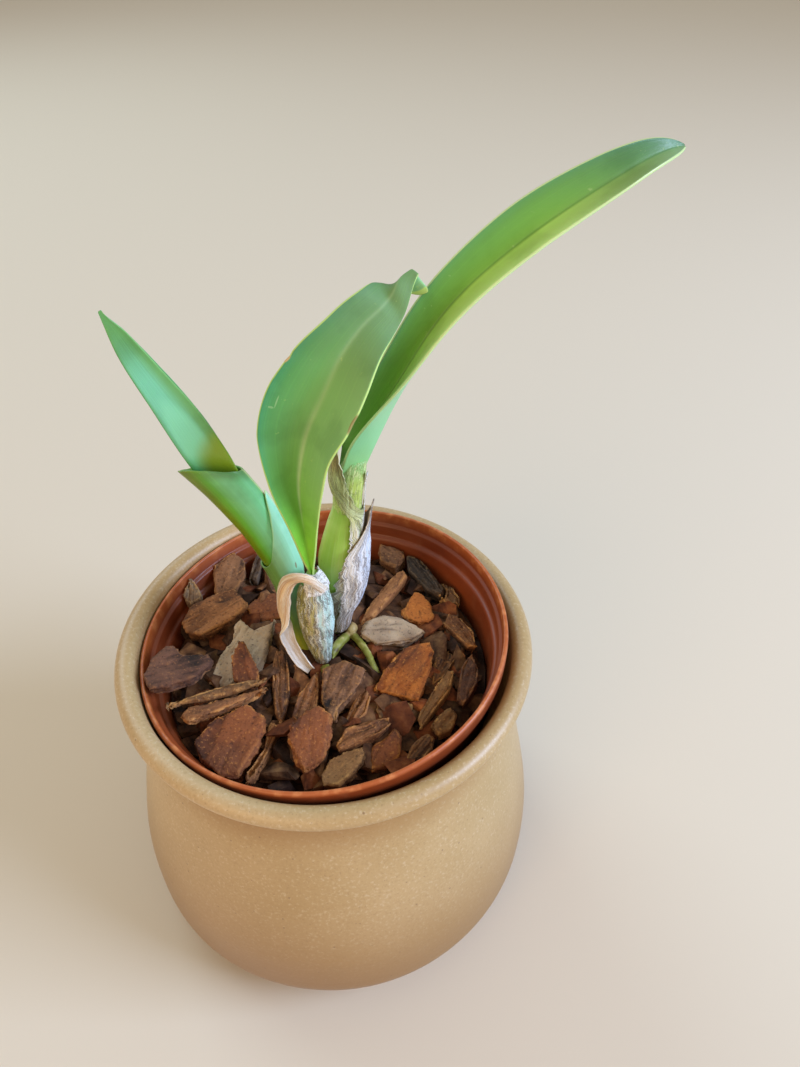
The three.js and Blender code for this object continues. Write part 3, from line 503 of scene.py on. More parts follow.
# %% Geometry Nodes: turn a profile
def turning_tree():
    """A tree that turns a line of points about the Z axis."""
    tree, given = new_tree("turn a profile", Steps_round="Int", Unevenness="Float", Material="Material")
    count = node(tree, "GeometryNodeAttributeDomainSize", {0: given["Geometry"]})["Point Count"]
    grid = node(tree, "GeometryNodeMeshGrid", {"Size X": 1.0, "Size Y": 1.0, "Vertices X": given["Steps round"] + 1,
                                               "Vertices Y": count})
    index = node(tree, "GeometryNodeInputIndex")[0]
    place = node(tree, "GeometryNodeInputPosition")[0]
    profile = node(tree, "GeometryNodeSampleIndex",
                   {0: given["Geometry"], "Value": place, "Index": index.math("MODULO", count)},
                   data_type="FLOAT_VECTOR")[0]
    radius, _, height = profile.parts()
    angle = (index / count).math("FLOOR") / given["Steps round"] * (2 * math.pi)
    cosine, sine = angle.math("COSINE"), angle.math("SINE")

    def turned(reach):
        return node(tree, "ShaderNodeCombineXYZ", {0: reach * cosine, 1: reach * sine, 2: height})[0]

    waves = node(tree, "ShaderNodeTexNoise", {"Vector": turned(radius), "Scale": 14.0, "Detail": 1.0})[0]
    swell = (waves - 0.5) * given["Unevenness"] + 1.0
    bent = node(tree, "GeometryNodeSetPosition", {0: grid["Mesh"], "Position": turned(radius * swell)})[0]
    mapped = store(bent, "UVMap", grid["UV Map"], "FLOAT2", "CORNER")
    closed = node(tree, "GeometryNodeMergeByDistance", {0: mapped, "Distance": 0.01 * MM})[0]
    return finish_tree(closed, given["Material"])


TURN = turning_tree()
print("tree:", TURN.name, "with", len(TURN.nodes), "nodes")

# %% [markdown]
# ## Stoneware
# The cover pot is glazed stoneware: a sandy body colour under a satin glaze, with a fine grain, a few small iron
# specks that melted through it, and faint rings left by the potter's fingers. The glaze is painted darker round the
# neck, as painted shade under the rim, and warmer and darker round the foot, as painted warm bounce light and shade.
# The specks are the cores of a Voronoi pattern, kept only where their random value is high, so that their sizes and
# spacing vary.

# %% Material: speckled stoneware
STONEWARE_SPECKS = (  # cells in a metre, size of a speck in its cell, share left out, strength, colour
    (330, 0.16, 0.86, 0.6, "6a4a2c"),
    (620, 0.2, 0.72, 0.4, "7d5c38"),
    (1100, 0.3, 0.6, 0.3, "8f7047"),
)
PAINTED_FOOT_BOUNCE = (0.08, 0.015)  # metres above the table: painted warm bounce light and shade grow from the first to the second
PAINTED_NECK_SHADE = ((0.088, 0.102), (0.115, 0.108))  # and painted shade under the rim, between these, round the neck


def stoneware_material():
    """Satin glaze with grain, clouds, iron specks and throwing rings, with painted shade at the neck and painted warm
    bounce light at the foot.
    """
    material, tree, inputs = new_material("speckled_stoneware", 0.42, Coat_Weight=0.5, Coat_Roughness=0.42)
    clouds = object_noise(tree, 16, 3)
    body = clouds.ramp((0.3, "a98c5a"), (0.7, "bfa478"))
    grain = object_noise(tree, 1000, 3)
    body = body.under("97794d", grain.steps(0.46, 0.3) * 0.3).under("dccfb4", grain.steps(0.54, 0.7) * 0.3)
    place = object_place(tree)
    height = place.parts()[2]
    # painted warm bounce light and shade, growing towards the foot
    body = body.under("865c22", height.steps(*PAINTED_FOOT_BOUNCE) * 0.85)
    # painted shade round the neck, under the rim
    neck = height.steps(*PAINTED_NECK_SHADE[0]) * height.steps(*PAINTED_NECK_SHADE[1])
    body = body.under("946e3a", neck * 0.7)
    for scale, size, share, strength, shade in STONEWARE_SPECKS:
        cells = node(tree, "ShaderNodeTexVoronoi", {"Vector": place, "Scale": scale})
        chance = node(tree, "ShaderNodeSeparateColor", {0: cells["Color"]})[0]
        speck = cells["Distance"].steps(size, size * 0.4) * chance.math("GREATER_THAN", share)
        body = body.under(shade, speck * strength)
    rings = object_noise(tree, 60, 2, (0.15, 0.15, 3.0))
    paint(inputs, body, rings * 1.2 + grain * 0.4, 0.3, 0.4 * MM, clouds * 0.2 + 0.34)
    return material


STONEWARE = stoneware_material()
print("material:", STONEWARE.name)

# %% [markdown]
# ## The cover pot
# The profile runs from the middle of the base, round the belly and the neck, over the rolled rim, and down inside to
# the floor. The belly is a smooth curve through a few measured points, and the rim is an arc.

# %% Cover pot
# Radius and height in millimetres.
COVER_BASE = [(0, 0), (30, 0), (53.4, 0)]
COVER_OUTSIDE = [(54, 0), (62, 4.6), (70, 9.8), (73.2, 15), (74, 23), (73.4, 38), (70.7, 54), (66.6, 73), (62.8, 90),
                 (59.6, 101), (60.6, 105), (62.6, 108.6), (65.2, 112)]
COVER_INSIDE = [(60.2, 111), (57.9, 105.6), (56.4, 100), (58.8, 90), (62.4, 73), (66.4, 54), (69.2, 36), (69.4, 21),
                (63, 10.5), (56, 8)]
COVER_FLOOR = [(30, 8), (0, 8)]
COVER_RIM = {"radius": 64.4, "height": 116.6, "roll": 3.4}


def smooth_line(points, count):
    """A smooth line through [radius, height] points."""
    t = np.linspace(0, 1, count)
    return list(zip(*(smooth([point[k] for point in points], t) for k in (0, 1))))


def profile_mesh(name, profile):
    """A profile in millimetres as a line of mesh points in the XZ plane."""
    mesh = bpy.data.meshes.new(name)
    points = [(radius * MM, 0, height * MM) for radius, height in profile]
    mesh.from_pydata(points, [(i, i + 1) for i in range(len(points) - 1)], [])
    return mesh


rim_arc = [(COVER_RIM["radius"] + COVER_RIM["roll"] * math.cos(math.radians(angle)),
            COVER_RIM["height"] + COVER_RIM["roll"] * math.sin(math.radians(angle))) for angle in range(-34, 181, 8)]
cover_profile = [*COVER_BASE, *smooth_line(COVER_OUTSIDE, 76), *rim_arc, *smooth_line(COVER_INSIDE, 54), *COVER_FLOOR]
cover_pot = run_tree("stoneware_pot", TURN, profile_mesh("cover profile", cover_profile), Steps_round=176,
                     Unevenness=0.008, Material=STONEWARE)
place_piece(cover_pot, None, "stoneware", "cover_pot")

# %% [markdown]
# ## Moulded plastic
# The nursery pot is red-brown plastic with a soft shine. Its lip is painted paler and more orange, a painted
# highlight, so the finish reads how near each point is to the lip, a value that the next cell keeps on the mesh.

# %% Material: moulded plastic
def plastic_material():
    """Red-brown plastic with a painted pale orange highlight along its lip."""
    material, tree, inputs = new_material("terracotta_plastic", 0.36, Specular_IOR_Level=0.5)
    body = object_noise(tree, 35, 3).ramp((0.3, "6f2d12"), (0.7, "8f4420"))
    dust = object_noise(tree, 160, 6)
    # A painted highlight along the lip, broken into brighter patches by noise.
    edge = stored(tree, "edge")
    lip_highlight_patches = edge * object_noise(tree, 260, 4).steps(0.45, 0.7)
    body = body.under("a87a55", dust.steps(0.55, 0.8) * 0.2)
    body = body.under("b8602c", edge * 0.8).under("dc9058", lip_highlight_patches * 0.6)
    paint(inputs, body, object_noise(tree, 500, 2), 0.15, 0.2 * MM, dust * 0.3 + 0.26)
    return material


PLASTIC = plastic_material()
print("material:", PLASTIC.name)

# %% [markdown]
# ## The nursery pot
# The thin brown pot is injection moulded. Its lip is folded over, and two small ledges run round inside, where the
# pots rest on each other in a stack. It leans inside the cover pot, so it is turned upright with the same tree, and
# its points are then tilted and moved. The lip of this one is chipped at the front left, where two nicks and a
# short crack show. The drainage holes are cut with a Boolean, because a turned shape can only be round.

# %% Nursery pot
LIP_CENTRE = np.array([-0.6, 0.1, 121.3]) * MM
LEAN = math.radians(4.57)  # towards the left
# Radius and depth below the lip, in millimetres.
NURSERY_OUTSIDE = [(58.7, 0.05), (59.1, 0.0), (59.6, 0.2), (59.9, 0.7), (60, 1.4), (59.8, 3.6), (59.6, 5.7),
                   (59.2, 6.1), (58.4, 6.3), (58.15, 6.7), (57.95, 10.2), (57.5, 10.7), (56.4, 10.9), (56.1, 11.4),
                   (50, 58), (43.8, 107.6), (43.5, 109), (42.9, 109.8)]
NURSERY_INSIDE = [(41.6, 108.3), (42.2, 107.6), (48.3, 60), (54.9, 11.2), (55.2, 10.2), (55.8, 9.85), (56.5, 9.5),
                  (56.65, 9.0), (56.85, 5.4), (57.1, 4.8), (57.9, 4.6), (58.15, 4.1), (58.5, 0.5)]
NURSERY_LENGTH = 109.8
NURSERY_FLOOR = 108.3
WALL_LENGTH = 8  # a longer stretch of the line is a wall, and is split into parts
WALL_PARTS = 3
DRAIN_HOLES = 6
DRAIN_RING = 28
DRAIN_RADIUS = 4
DRAIN_LEVEL = 109  # the middle of each drill, below the lip
DRAIN_CUT = 6
# Damage to the lip: the angle round it in degrees, half the width in degrees, and the depth in millimetres.
LIP_NICKS = [(212, 1.6, 0.9), (216.5, 0.9, 0.7), (222, 2.4, 0.5)]
NICK_REACH = 2.5  # millimetres below the lip, where a nick has run out
LIP_HIGHLIGHT_REACH = 1.3  # and where the painted lip highlight has


def softened(line):
    """The line with extra points along its walls, so that each corner stays but the walls shade evenly."""
    points = [line[0]]
    for (r0, z0), (r1, z1) in zip(line, line[1:]):
        parts = WALL_PARTS if math.dist((r0, z0), (r1, z1)) > WALL_LENGTH else 1
        points += [(r0 + (r1 - r0) * k / parts, z0 + (z1 - z0) * k / parts) for k in range(1, parts + 1)]
    return points


nursery_line = [(0, NURSERY_FLOOR), *softened(NURSERY_INSIDE), *softened(NURSERY_OUTSIDE), (0, NURSERY_LENGTH)]
nursery_pot = run_tree("plastic_pot", TURN, profile_mesh("nursery profile", [(r, -d) for r, d in nursery_line]),
                       Steps_round=220, Unevenness=0.001, Material=PLASTIC)

holes = bmesh.new()
for k in range(DRAIN_HOLES):
    turn = 2 * math.pi * k / DRAIN_HOLES
    middle = Vector((DRAIN_RING * math.cos(turn), DRAIN_RING * math.sin(turn), -DRAIN_LEVEL)) * MM
    bmesh.ops.create_cone(holes, cap_ends=True, segments=24, radius1=DRAIN_RADIUS * MM, radius2=DRAIN_RADIUS * MM,
                          depth=DRAIN_CUT * MM, matrix=Matrix.Translation(middle))
drills = new_piece("drills", mesh_from("drain holes", holes))
drilling = nursery_pot.modifiers.new("drilling", "BOOLEAN")
drilling.operation = "DIFFERENCE"
drilling.object = drills
baked(nursery_pot)
bpy.data.objects.remove(drills)


def lean_nursery_pot(mesh):
    """Chips the lip, marks its edge for the painted highlight, and sets the pot at its place and lean."""
    points = points_of(mesh)
    angles = np.degrees(np.arctan2(points[:, 1], points[:, 0])) % 360
    depth = -points[:, 2] / MM
    keep(mesh, "edge", np.clip(LIP_HIGHLIGHT_REACH - depth, 0, 1))
    for angle, width, bite in LIP_NICKS:
        share = np.clip(1 - np.abs(angles - angle) / width, 0, 1) * np.clip(1 - depth / NICK_REACH, 0, 1)
        points[:, 2] -= bite * MM * np.sqrt(share)
    x, z = points[:, 0].copy(), points[:, 2].copy()
    points[:, 0] = x * math.cos(LEAN) - z * math.sin(LEAN)
    points[:, 2] = z * math.cos(LEAN) + x * math.sin(LEAN)
    points += LIP_CENTRE
    mesh.vertices.foreach_set("co", points.ravel())
    mesh.update()


lean_nursery_pot(nursery_pot.data)
place_piece(nursery_pot, None, "plastic", "nursery_pot")

# %% [markdown]
# ## Bark
# Orchid bark is broken from thick pine bark. Each chip is built of thin corky layers: its two broad faces are
# smooth and flaky, and its broken sides show the layers edge on, with a paler crust where they crumble. The finish
# reads five values that the geometry tree below keeps at each point: how broken the surface is there, how near an
# edge it is, how many flakes are left, the depth through the layers, and the position squeezed along the fibres.

# %% Material: bark in several tones
BARK_TONES = {  # dark, middle and light shade of each kind of chip, and its crust
    "mauve": ("22140f", "4c3126", "6c4938", "9a6a42"),
    "rust": ("361a0d", "6e3b1e", "8a4f2b", "c2803f"),
    "brown": ("28170e", "764a29", "9e6a40", "cb9054"),
    "tan": ("342117", "724e2c", "926a40", "c69458"),
    "umber": ("20120b", "68452c", "926848", "bb844a"),
    "grey": ("382a1f", "8a735c", "bda78c", "bd9868"),
    "orange": ("40200d", "944e1c", "b66a2a", "d28c40"),
    "char": ("120e0c", "2b231d", "5a4c40", "7c6246"),
}


def bark_material(tone, dark, middle, light, crust):
    """Bark with soft patches on its faces, layer lines on its sides and a pale crust along its edges."""
    material, tree, inputs = new_material("bark_" + tone, 0.78, Specular_IOR_Level=0.35)
    patches = object_noise(tree, 75, 3) + stored(tree, "flake") * 0.16
    fibres = noise_of(stored(tree, "fibre", "Vector"), 420, 5)
    body = patches.ramp((0.36, dark), (0.52, middle), (0.78, light))
    body = body.under(light, fibres.steps(0.5, 0.72) * 0.45).under(dark, fibres.steps(0.46, 0.3) * 0.55)
    lines = node(tree, "ShaderNodeTexNoise", {"W": stored(tree, "layer"), "Scale": 1.6, "Detail": 3.0},
                 noise_dimensions="1D")["Fac"]
    body = body.under(lines.ramp((0.34, dark), (0.52, middle), (0.72, light)), stored(tree, "broken") * 0.5)
    body = body.under("4f3226", object_noise(tree, 48, 2).steps(0.5, 0.68) * 0.45)
    crumbs = object_noise(tree, 300, 6)
    grit = object_noise(tree, 1100, 3)
    body = body.under(crust, grit.steps(0.56, 0.72) * 0.5).under(dark, grit.steps(0.44, 0.3) * 0.6)
    body = body.under(crust, stored(tree, "edge") * crumbs.steps(0.42, 0.6) * 0.85)
    paint(inputs, body, fibres * 0.6 + crumbs * 1.2 + grit * 0.4, 0.8, 0.7 * MM)
    return material


BARK = {tone: bark_material(tone, *shades) for tone, shades in BARK_TONES.items()}
print("bark tones:", ", ".join(BARK))

# %% [markdown]
# ## Bark is carved
# The tree below carves a chip: its broken sides step in and out from layer to layer and get a ragged outline, thin
# flakes are missing from the faces, and the edges crumble. Nearly all of that goes inwards, so a chip stays in its
# solid. Sculpting each chip would look as good, but would have to be done again after every change to the solids.

# %% Geometry Nodes: carve bark
def noise_4d(source, seed, scale, detail, low=-1.0):
    """Noise from low to 1, different for each seed."""
    inputs = {"Vector": source, "W": seed, "Scale": scale, "Detail": detail, "Roughness": 0.6}
    value = node(source.tree, "ShaderNodeTexNoise", inputs, noise_dimensions="4D")[0]
    inputs = {"Value": value, "From Min": 0.25, "From Max": 0.75, "To Min": low, "To Max": 1.0}
    return node(source.tree, "ShaderNodeMapRange", inputs)[0]


def bark_tree():
    """A tree that carves layers, flakes and crumbling edges into an even mesh."""
    tree, given = new_tree("carve bark", Through="Vector", Along="Vector", Side_depth="Float", Flake_depth="Float",
                           Crumb_depth="Float", Layer="Float", Seed="Float")
    place = node(tree, "GeometryNodeInputPosition")[0]
    normal = node(tree, "GeometryNodeInputNormal")[0]

    def waves(source, *settings):
        return noise_4d(source, given["Seed"], *settings)

    broken = normal.vector("DOT_PRODUCT", given["Through"]).math("ABSOLUTE").steps(0.85, 0.35)
    soft_normal = node(tree, "GeometryNodeBlurAttribute", {0: normal, 1: 5}, data_type="FLOAT_VECTOR")[0]
    edge = soft_normal.vector("LENGTH").steps(0.985, 0.89)
    depth = place.vector("DOT_PRODUCT", given["Through"])
    layers = depth / given["Layer"] + waves(place, 90.0, 1.0) * 0.5
    one_layer = node(tree, "ShaderNodeTexWhiteNoise", {"W": layers.math("FLOOR")}, noise_dimensions="1D")["Value"]
    ragged = waves(place, 95.0, 2.0) + waves(place, 330.0, 3.0) * 0.55
    side_push = (ragged + one_layer - 0.95) * (broken * given["Side depth"])
    shift = place.vector("DOT_PRODUCT", given["Along"])
    squeezed = place.vector("SUBTRACT", given["Along"].vector("SCALE", shift * 0.82))
    flakes = waves(squeezed, 95.0, 4.0, 0.0)
    level = flakes.steps(0.42, 0.47) + flakes.steps(0.64, 0.68)
    face_push = (level - 1.6 + waves(place, 60.0, 1.0) * 0.7) * given["Flake depth"]
    crumble = (waves(place, 620.0, 4.0) - 0.7) * (edge * given["Crumb depth"])
    push = (side_push + face_push) + (crumble + waves(squeezed, 700.0, 3.0) * (0.06 * MM))
    geometry = given["Geometry"]
    for name, value in (("broken", broken), ("edge", edge), ("flake", level), ("layer", layers)):
        geometry = store(geometry, name, value)
    geometry = store(geometry, "fibre", squeezed, "FLOAT_VECTOR")
    moved = node(tree, "GeometryNodeSetPosition", {0: geometry, "Offset": normal.vector("SCALE", push)})[0]
    return finish_tree(moved)


CARVE = bark_tree()
print("tree:", CARVE.name, "with", len(CARVE.nodes), "nodes")

# %% [markdown]
# ## Chips that can be told apart
# The large chips keep the places and outlines of their solids. A copy of each solid is made into an even mesh with
# the Remesh modifier, because Geometry Nodes can only shift points that are there, and is then carved. The
# directions through the layers and along the fibres are the thinnest and the longest way through each chip.

# %% Large chips
CHIP_VOXEL = 0.45 * MM
SIDE_DEPTH = 1.05 * MM
FLAKE_DEPTH = 0.28 * MM
CRUMB_DEPTH = 0.55 * MM
LAYER = 1.1 * MM
record_slots = {part["node"]: part["material_slot"] for part in frame["record"]["subparts"]}


def merged_copy(name, source):
    """A copy of a solid's mesh with its loose triangles joined."""
    work = bmesh.new()
    work.from_mesh(source.data)
    bmesh.ops.remove_doubles(work, verts=work.verts, dist=0.02 * MM)
    return new_piece(name, mesh_from(name, work))


def remeshed(name, source, voxel, smoothing=0):
    """An even mesh of a solid, ready for a geometry tree."""
    piece = merged_copy(name, source)
    even = piece.modifiers.new("even mesh", "REMESH")
    even.mode = "VOXEL"
    even.voxel_size = voxel
    if smoothing:
        piece.modifiers.new("rounding", "SMOOTH").iterations = smoothing
    mesh = baked(piece).data
    bpy.data.objects.remove(piece)
    return mesh


def main_axes(mesh):
    """The thinnest and the longest way through a mesh, as two directions."""
    points = points_of(mesh)
    axes = np.linalg.eigh(np.cov((points - points.mean(axis=0)).T))[1]
    return tuple(axes[:, 0]), tuple(axes[:, 2])


def detailed_chip(number, source):
    """A broken, layered version of a chip's solid."""
    mesh = remeshed("even chip", source, CHIP_VOXEL)
    through, along = main_axes(mesh)
    return run_tree("bark_piece_%02d" % number, CARVE, mesh, Through=through, Along=along, Side_depth=SIDE_DEPTH,
                    Flake_depth=FLAKE_DEPTH, Crumb_depth=CRUMB_DEPTH, Layer=LAYER, Seed=number * 3.1)


chips = sorted(name for name in NODES if name.startswith("bark_chip"))
for number, name in enumerate(chips, 1):
    slot = record_slots[name]
    place_piece(detailed_chip(number, NODES[name]), BARK[slot.removeprefix("bark_")], slot, name)
print("chips:", len(chips))

# %% [markdown]
# ## Small bark
# Between the large chips lie many small ones and crumbs. They are too small for layers and crusts, so their finish is
# simpler. It darkens each of them by a shade of its own, so that neighbours can be told apart.

# %% Material: small bark
def litter_material(name, dark, middle, light):
    """Dark, matte bark for the small pieces, each in a shade of its own."""
    material, tree, inputs = new_material(name, 0.85, Specular_IOR_Level=0.25)
    body = object_noise(tree, 260, 5).ramp((0.34, dark), (0.52, middle), (0.74, light))
    paint(inputs, body.under(dark, stored(tree, "shade") * 0.75), object_noise(tree, 520, 5), 0.8, 0.6 * MM)
    return material


# The small bark is darker than the chips: partly its own colour, partly painted shade of the gaps it lies in.
LITTER_FINISH = litter_material("small_bark", "2a1810", "5a3922", "84603f")
# Painted shade: the bed only shows in the gaps between the chips, so its finish is nearly black.
GAP_SHADE_FINISH = litter_material("bark_gap_shade", "1c110b", "35221a", "4c3424")
SPLINTER_FINISHES = [litter_material("splinters_brown", "3a2417", "7a5236", "a87a4e"),
                     litter_material("splinters_rust", "4a2413", "8a4c2a", "b87442"),
                     litter_material("splinters_umber", "2e1c12", "62432d", "8f6a46")]
print("small bark finishes:", 2 + len(SPLINTER_FINISHES))

# %% [markdown]
# ## Litter between the chips
# The small pieces are the same few broken blocks again and again, so Geometry Nodes scatters them. Points are spread
# over a surface at a smallest distance, each gets a block with a random turn, size and shade, and the instances are
# made real at the end. A particle system would do the same, but its hair can't be given a smallest distance.

# %% Geometry Nodes: scatter bark
def shard(name, seed):
    """One broken splinter: the hull of a few random points, long and flat."""
    chance = random.Random(seed)
    long, wide, thick = 1.0, chance.uniform(0.35, 0.65), chance.uniform(0.16, 0.3)
    work = bmesh.new()
    for _ in range(22):
        work.verts.new((chance.uniform(-long, long), chance.uniform(-wide, wide), chance.uniform(-thick, thick)))
    hull = bmesh.ops.convex_hull(work, input=work.verts)
    bmesh.ops.delete(work, geom=hull["geom_interior"], context="VERTS")
    return bpy.data.objects.new(name, mesh_from(name, work))


def scatter_tree(shards):
    """A tree that strews shards over a surface."""
    tree, given = new_tree("scatter bark", Spacing="Float", Smallest="Float", Largest="Float", Seed="Int",
                           Material="Material")

    def chance(kind, seed, limits):
        return node(tree, "FunctionNodeRandomValue", {**limits, "Seed": seed}, data_type=kind)

    spread = node(tree, "GeometryNodeDistributePointsOnFaces",
                  {0: given["Geometry"], "Distance Min": given["Spacing"], "Density Max": 1e6, "Seed": given["Seed"]},
                  distribute_method="POISSON")["Points"]
    shapes = node(tree, "GeometryNodeGeometryToInstance")
    for shape in shards:
        link(node(tree, "GeometryNodeObjectInfo", {0: shape})["Geometry"], shapes.made.inputs[0])
    tilt = chance("FLOAT_VECTOR", given["Seed"], {0: (-0.6, -0.6, -math.pi), 1: (0.6, 0.6, math.pi)})[0]
    size = chance("FLOAT", given["Seed"], {2: given["Smallest"], 3: given["Largest"]})[1]
    shade = chance("FLOAT", 7, {2: 0.0, 3: 1.0})[1]
    strewn = node(tree, "GeometryNodeInstanceOnPoints", {0: spread, "Instance": shapes[0], "Pick Instance": True,
                                                         "Rotation": tilt, "Scale": size})[0]
    return finish_tree(store(strewn, "shade", shade, domain="INSTANCE"), given["Material"], smooth=False)


SHARDS = [shard("shard_%d" % k, 20 + k) for k in range(8)]
SCATTER = scatter_tree(SHARDS)
print("tree:", SCATTER.name, "with", len(SCATTER.nodes), "nodes and", len(SHARDS), "shapes")

# %% [markdown]
# ## Strew the litter
# The mound is a disc that sags towards the wall. One run strews the small bark over all of it. Three more strew
# larger splinters, each run in a colour of its own, a little higher and further from the wall, so that they lie on
# top. The solid bed below only shows in the gaps, and gets a nearly black finish that is painted shade of the gaps.

# %% Litter and splinters
BED_RADIUS = 51 * MM
BED_TOP = 106.6 * MM
BED_SAG = 0.0017 / MM  # how fast the mound falls off with the square of the radius
SPLINTER_RADIUS = 45 * MM
SPLINTER_LIFT = 2.2 * MM
SPLINTER_SEEDS = (12, 31, 54)


def mound(name, radius, lift=0):
    """The top of the bark as a round mesh."""
    work = bmesh.new()
    bmesh.ops.create_circle(work, cap_ends=True, cap_tris=True, segments=48, radius=radius)
    bmesh.ops.subdivide_edges(work, edges=work.edges, cuts=4, use_grid_fill=True)
    for point in work.verts:
        point.co.z = BED_TOP + lift - BED_SAG * point.co.xy.length_squared
    return mesh_from(name, work)


litter = run_tree("bark_litter", SCATTER, mound("mound", BED_RADIUS), Spacing=4.2 * MM, Smallest=2.6 * MM,
                  Largest=6.4 * MM, Seed=5, Material=LITTER_FINISH)
for number, (seed, finish) in enumerate(zip(SPLINTER_SEEDS, SPLINTER_FINISHES), start=1):
    splinters = run_tree(f"bark_splinters_{number}", SCATTER, mound("splinter mound", SPLINTER_RADIUS, SPLINTER_LIFT),
                         Spacing=11 * MM, Smallest=5.5 * MM, Largest=9.5 * MM, Seed=seed, Material=finish)
    place_piece(splinters, None, "bark_bed")
place_piece(litter, None, "bark_bed")
# The bed gets the nearly black finish of painted shade in the gaps.
bed = NODES["bark_bed"]
bed.data.materials.clear()
bed.data.materials.append(GAP_SHADE_FINISH)

# %% [markdown]
# ## Paint across and along
# Leaves, sleeves, sheaths and the bract are all sheets, and their colour changes across and along them: a leaf is
# lime at its foot and carries a painted bluish sky reflection on the side that faces the sky, and dry paper is
# silvery, with a painted sheen on the side towards the window, and brown at its tip. One helper paints that. It
# reads the UV map, in which u runs across and v along the sheet. Noise that is stretched lengthwise shifts both a
# little, so that no border is straight.

# %% Helper: paint a sheet
def sheet_uv(tree):
    """The place on a sheet."""
    return node(tree, "ShaderNodeUVMap", uv_map="UVMap")[0]


def sheet_noise(uv, across, along, detail):
    """Noise in the UV map, with its number of waves across and along the sheet."""
    return noise_of(uv, 1.0, detail, size=(across, along, 1))


def painted(uv, across, tints, wobble):
    """The colour from stops across a sheet, then tints of (from v, to v, colour, strength) along it."""
    u, v, _ = uv.parts()
    bands = sheet_noise(uv, 9, 2, 3.0) - 0.5
    body = (u + bands * wobble).ramp(*across)
    reach = v + bands * (wobble * 0.4)
    for start, end, shade, strength in tints:
        body = body.under(shade, reach.steps(start, end) * strength)
    return body


def spot(uv, *oval):
    """A soft oval mark on a sheet, 1 in its middle, from its middle (u, v) and its halves."""
    squares = [((value - middle) / half).math("POWER", 2) for value, middle, half in zip(uv.parts(), oval, oval[2:])]
    return (squares[0] + squares[1]).steps(1.0, 0.3)


print("sheet painting ready")

# %% [markdown]
# ## The skin of the leaves
# A cattleya leaf is thick and leathery. Its finish has a waxy gloss, fine lengthwise veins, a soft pale midrib, thin
# pale margins and a few old scars, and a little light passes through it. The upper face and the underside differ, so
# both are painted, and the side that each point lies on chooses between them.

# %% Material: leaf
def leaf_material(name, face, face_tints, under, under_tints, rib, margin, marks=(), roughness=0.32):
    """A leaf's finish. Both sides are painted, then come the veins, the rib, the margins and the marks."""
    material, tree, inputs = new_material(name, roughness, Specular_IOR_Level=0.5, Subsurface_Weight=0.06,
                                          Subsurface_Scale=0.003)
    inputs["Subsurface Radius"].default_value = (0.4, 1.0, 0.2)
    uv = sheet_uv(tree)
    u, v, _ = uv.parts()
    across = (u * 2 - 1).math("ABSOLUTE")
    rib_shade, rib_width, rib_strength = rib
    line = across.steps(rib_width, 0.0) * v.ramp(*rib_strength)
    upper = painted(uv, face, face_tints, 0.12).under(rib_shade, line)
    body = painted(uv, under, under_tints, 0.05).under(upper, stored(tree, "side"))
    veins = sheet_noise(uv, 60, 1.4, 3.0)
    body = body.under(body.under("e9f2cf", 1.0, "SOFT_LIGHT"), veins.steps(0.5, 0.75) * 0.3)
    clouds = object_noise(tree, 55, 4)
    body = body.under(body.under("7f9a6a", 1.0, "MULTIPLY"), clouds.steps(0.52, 0.36) * 0.22)
    body = body.under(margin, across.steps(0.95, 0.985) * 0.8)
    for *oval, shade, strength in marks:
        body = body.under(shade, spot(uv, *oval) * strength)
    flecks = object_noise(tree, 700, 3)
    body = body.under(margin, flecks.steps(0.68, 0.76) * 0.25)
    paint(inputs, body, veins * 0.8 + flecks * 0.15, 0.22, 0.4 * MM, clouds * 0.14 + (roughness - 0.06))
    return material


# The bluish teal at the left margin of the broad leaf is a painted sky reflection.
LEAF_BROAD_FINISH = leaf_material(
    "leaf_broad_green",
    [(0.02, "3a9060"), (0.14, "529650"), (0.36, "70aa58"), (0.62, "82ba70"), (1.0, "8ec27e")],
    [(0.56, 0.08, "86cc24", 0.9), (0.62, 0.86, "5e8250", 0.8)],
    [(0.0, "8cc488"), (1.0, "8cc488")], [],
    ("b8d4a0", 0.2, [(0.2, 0.0), (0.34, 0.6), (0.46, 0.6), (0.6, 0.25), (0.8, 0.2)]), "c4e07c",
    [(0.0, 0.69, 0.05, 0.01, "c9a878", 0.9), (1.0, 0.625, 0.05, 0.03, "86663c", 0.8),
     (0.16, 0.575, 0.006, 0.018, "a8c98e", 0.45), (0.13, 0.56, 0.03, 0.003, "a8c98e", 0.35)], roughness=0.66)
# On the long leaf, the teal towards the tip is a painted sky reflection, the much paler half past the fold is painted
# light, and the dark midrib is painted shade in the fold.
LEAF_LONG_FINISH = leaf_material(
    "leaf_long_green",
    [(0.0, "568e54"), (0.16, "689a48"), (0.44, "80b44c"), (0.52, "7eb04c"), (0.6, "bce880"), (0.97, "d0f09c")],
    [(0.66, 1.0, "3c705c", 0.75), (0.35, 0.0, "80b050", 0.6)],
    [(0.0, "86cc8e"), (1.0, "90d69c")], [(0.16, 0.0, "98c470", 0.9)],
    ("4a7a30", 0.07, [(0.0, 0.5), (0.6, 0.35), (0.9, 0.2)]), "c9dc98")
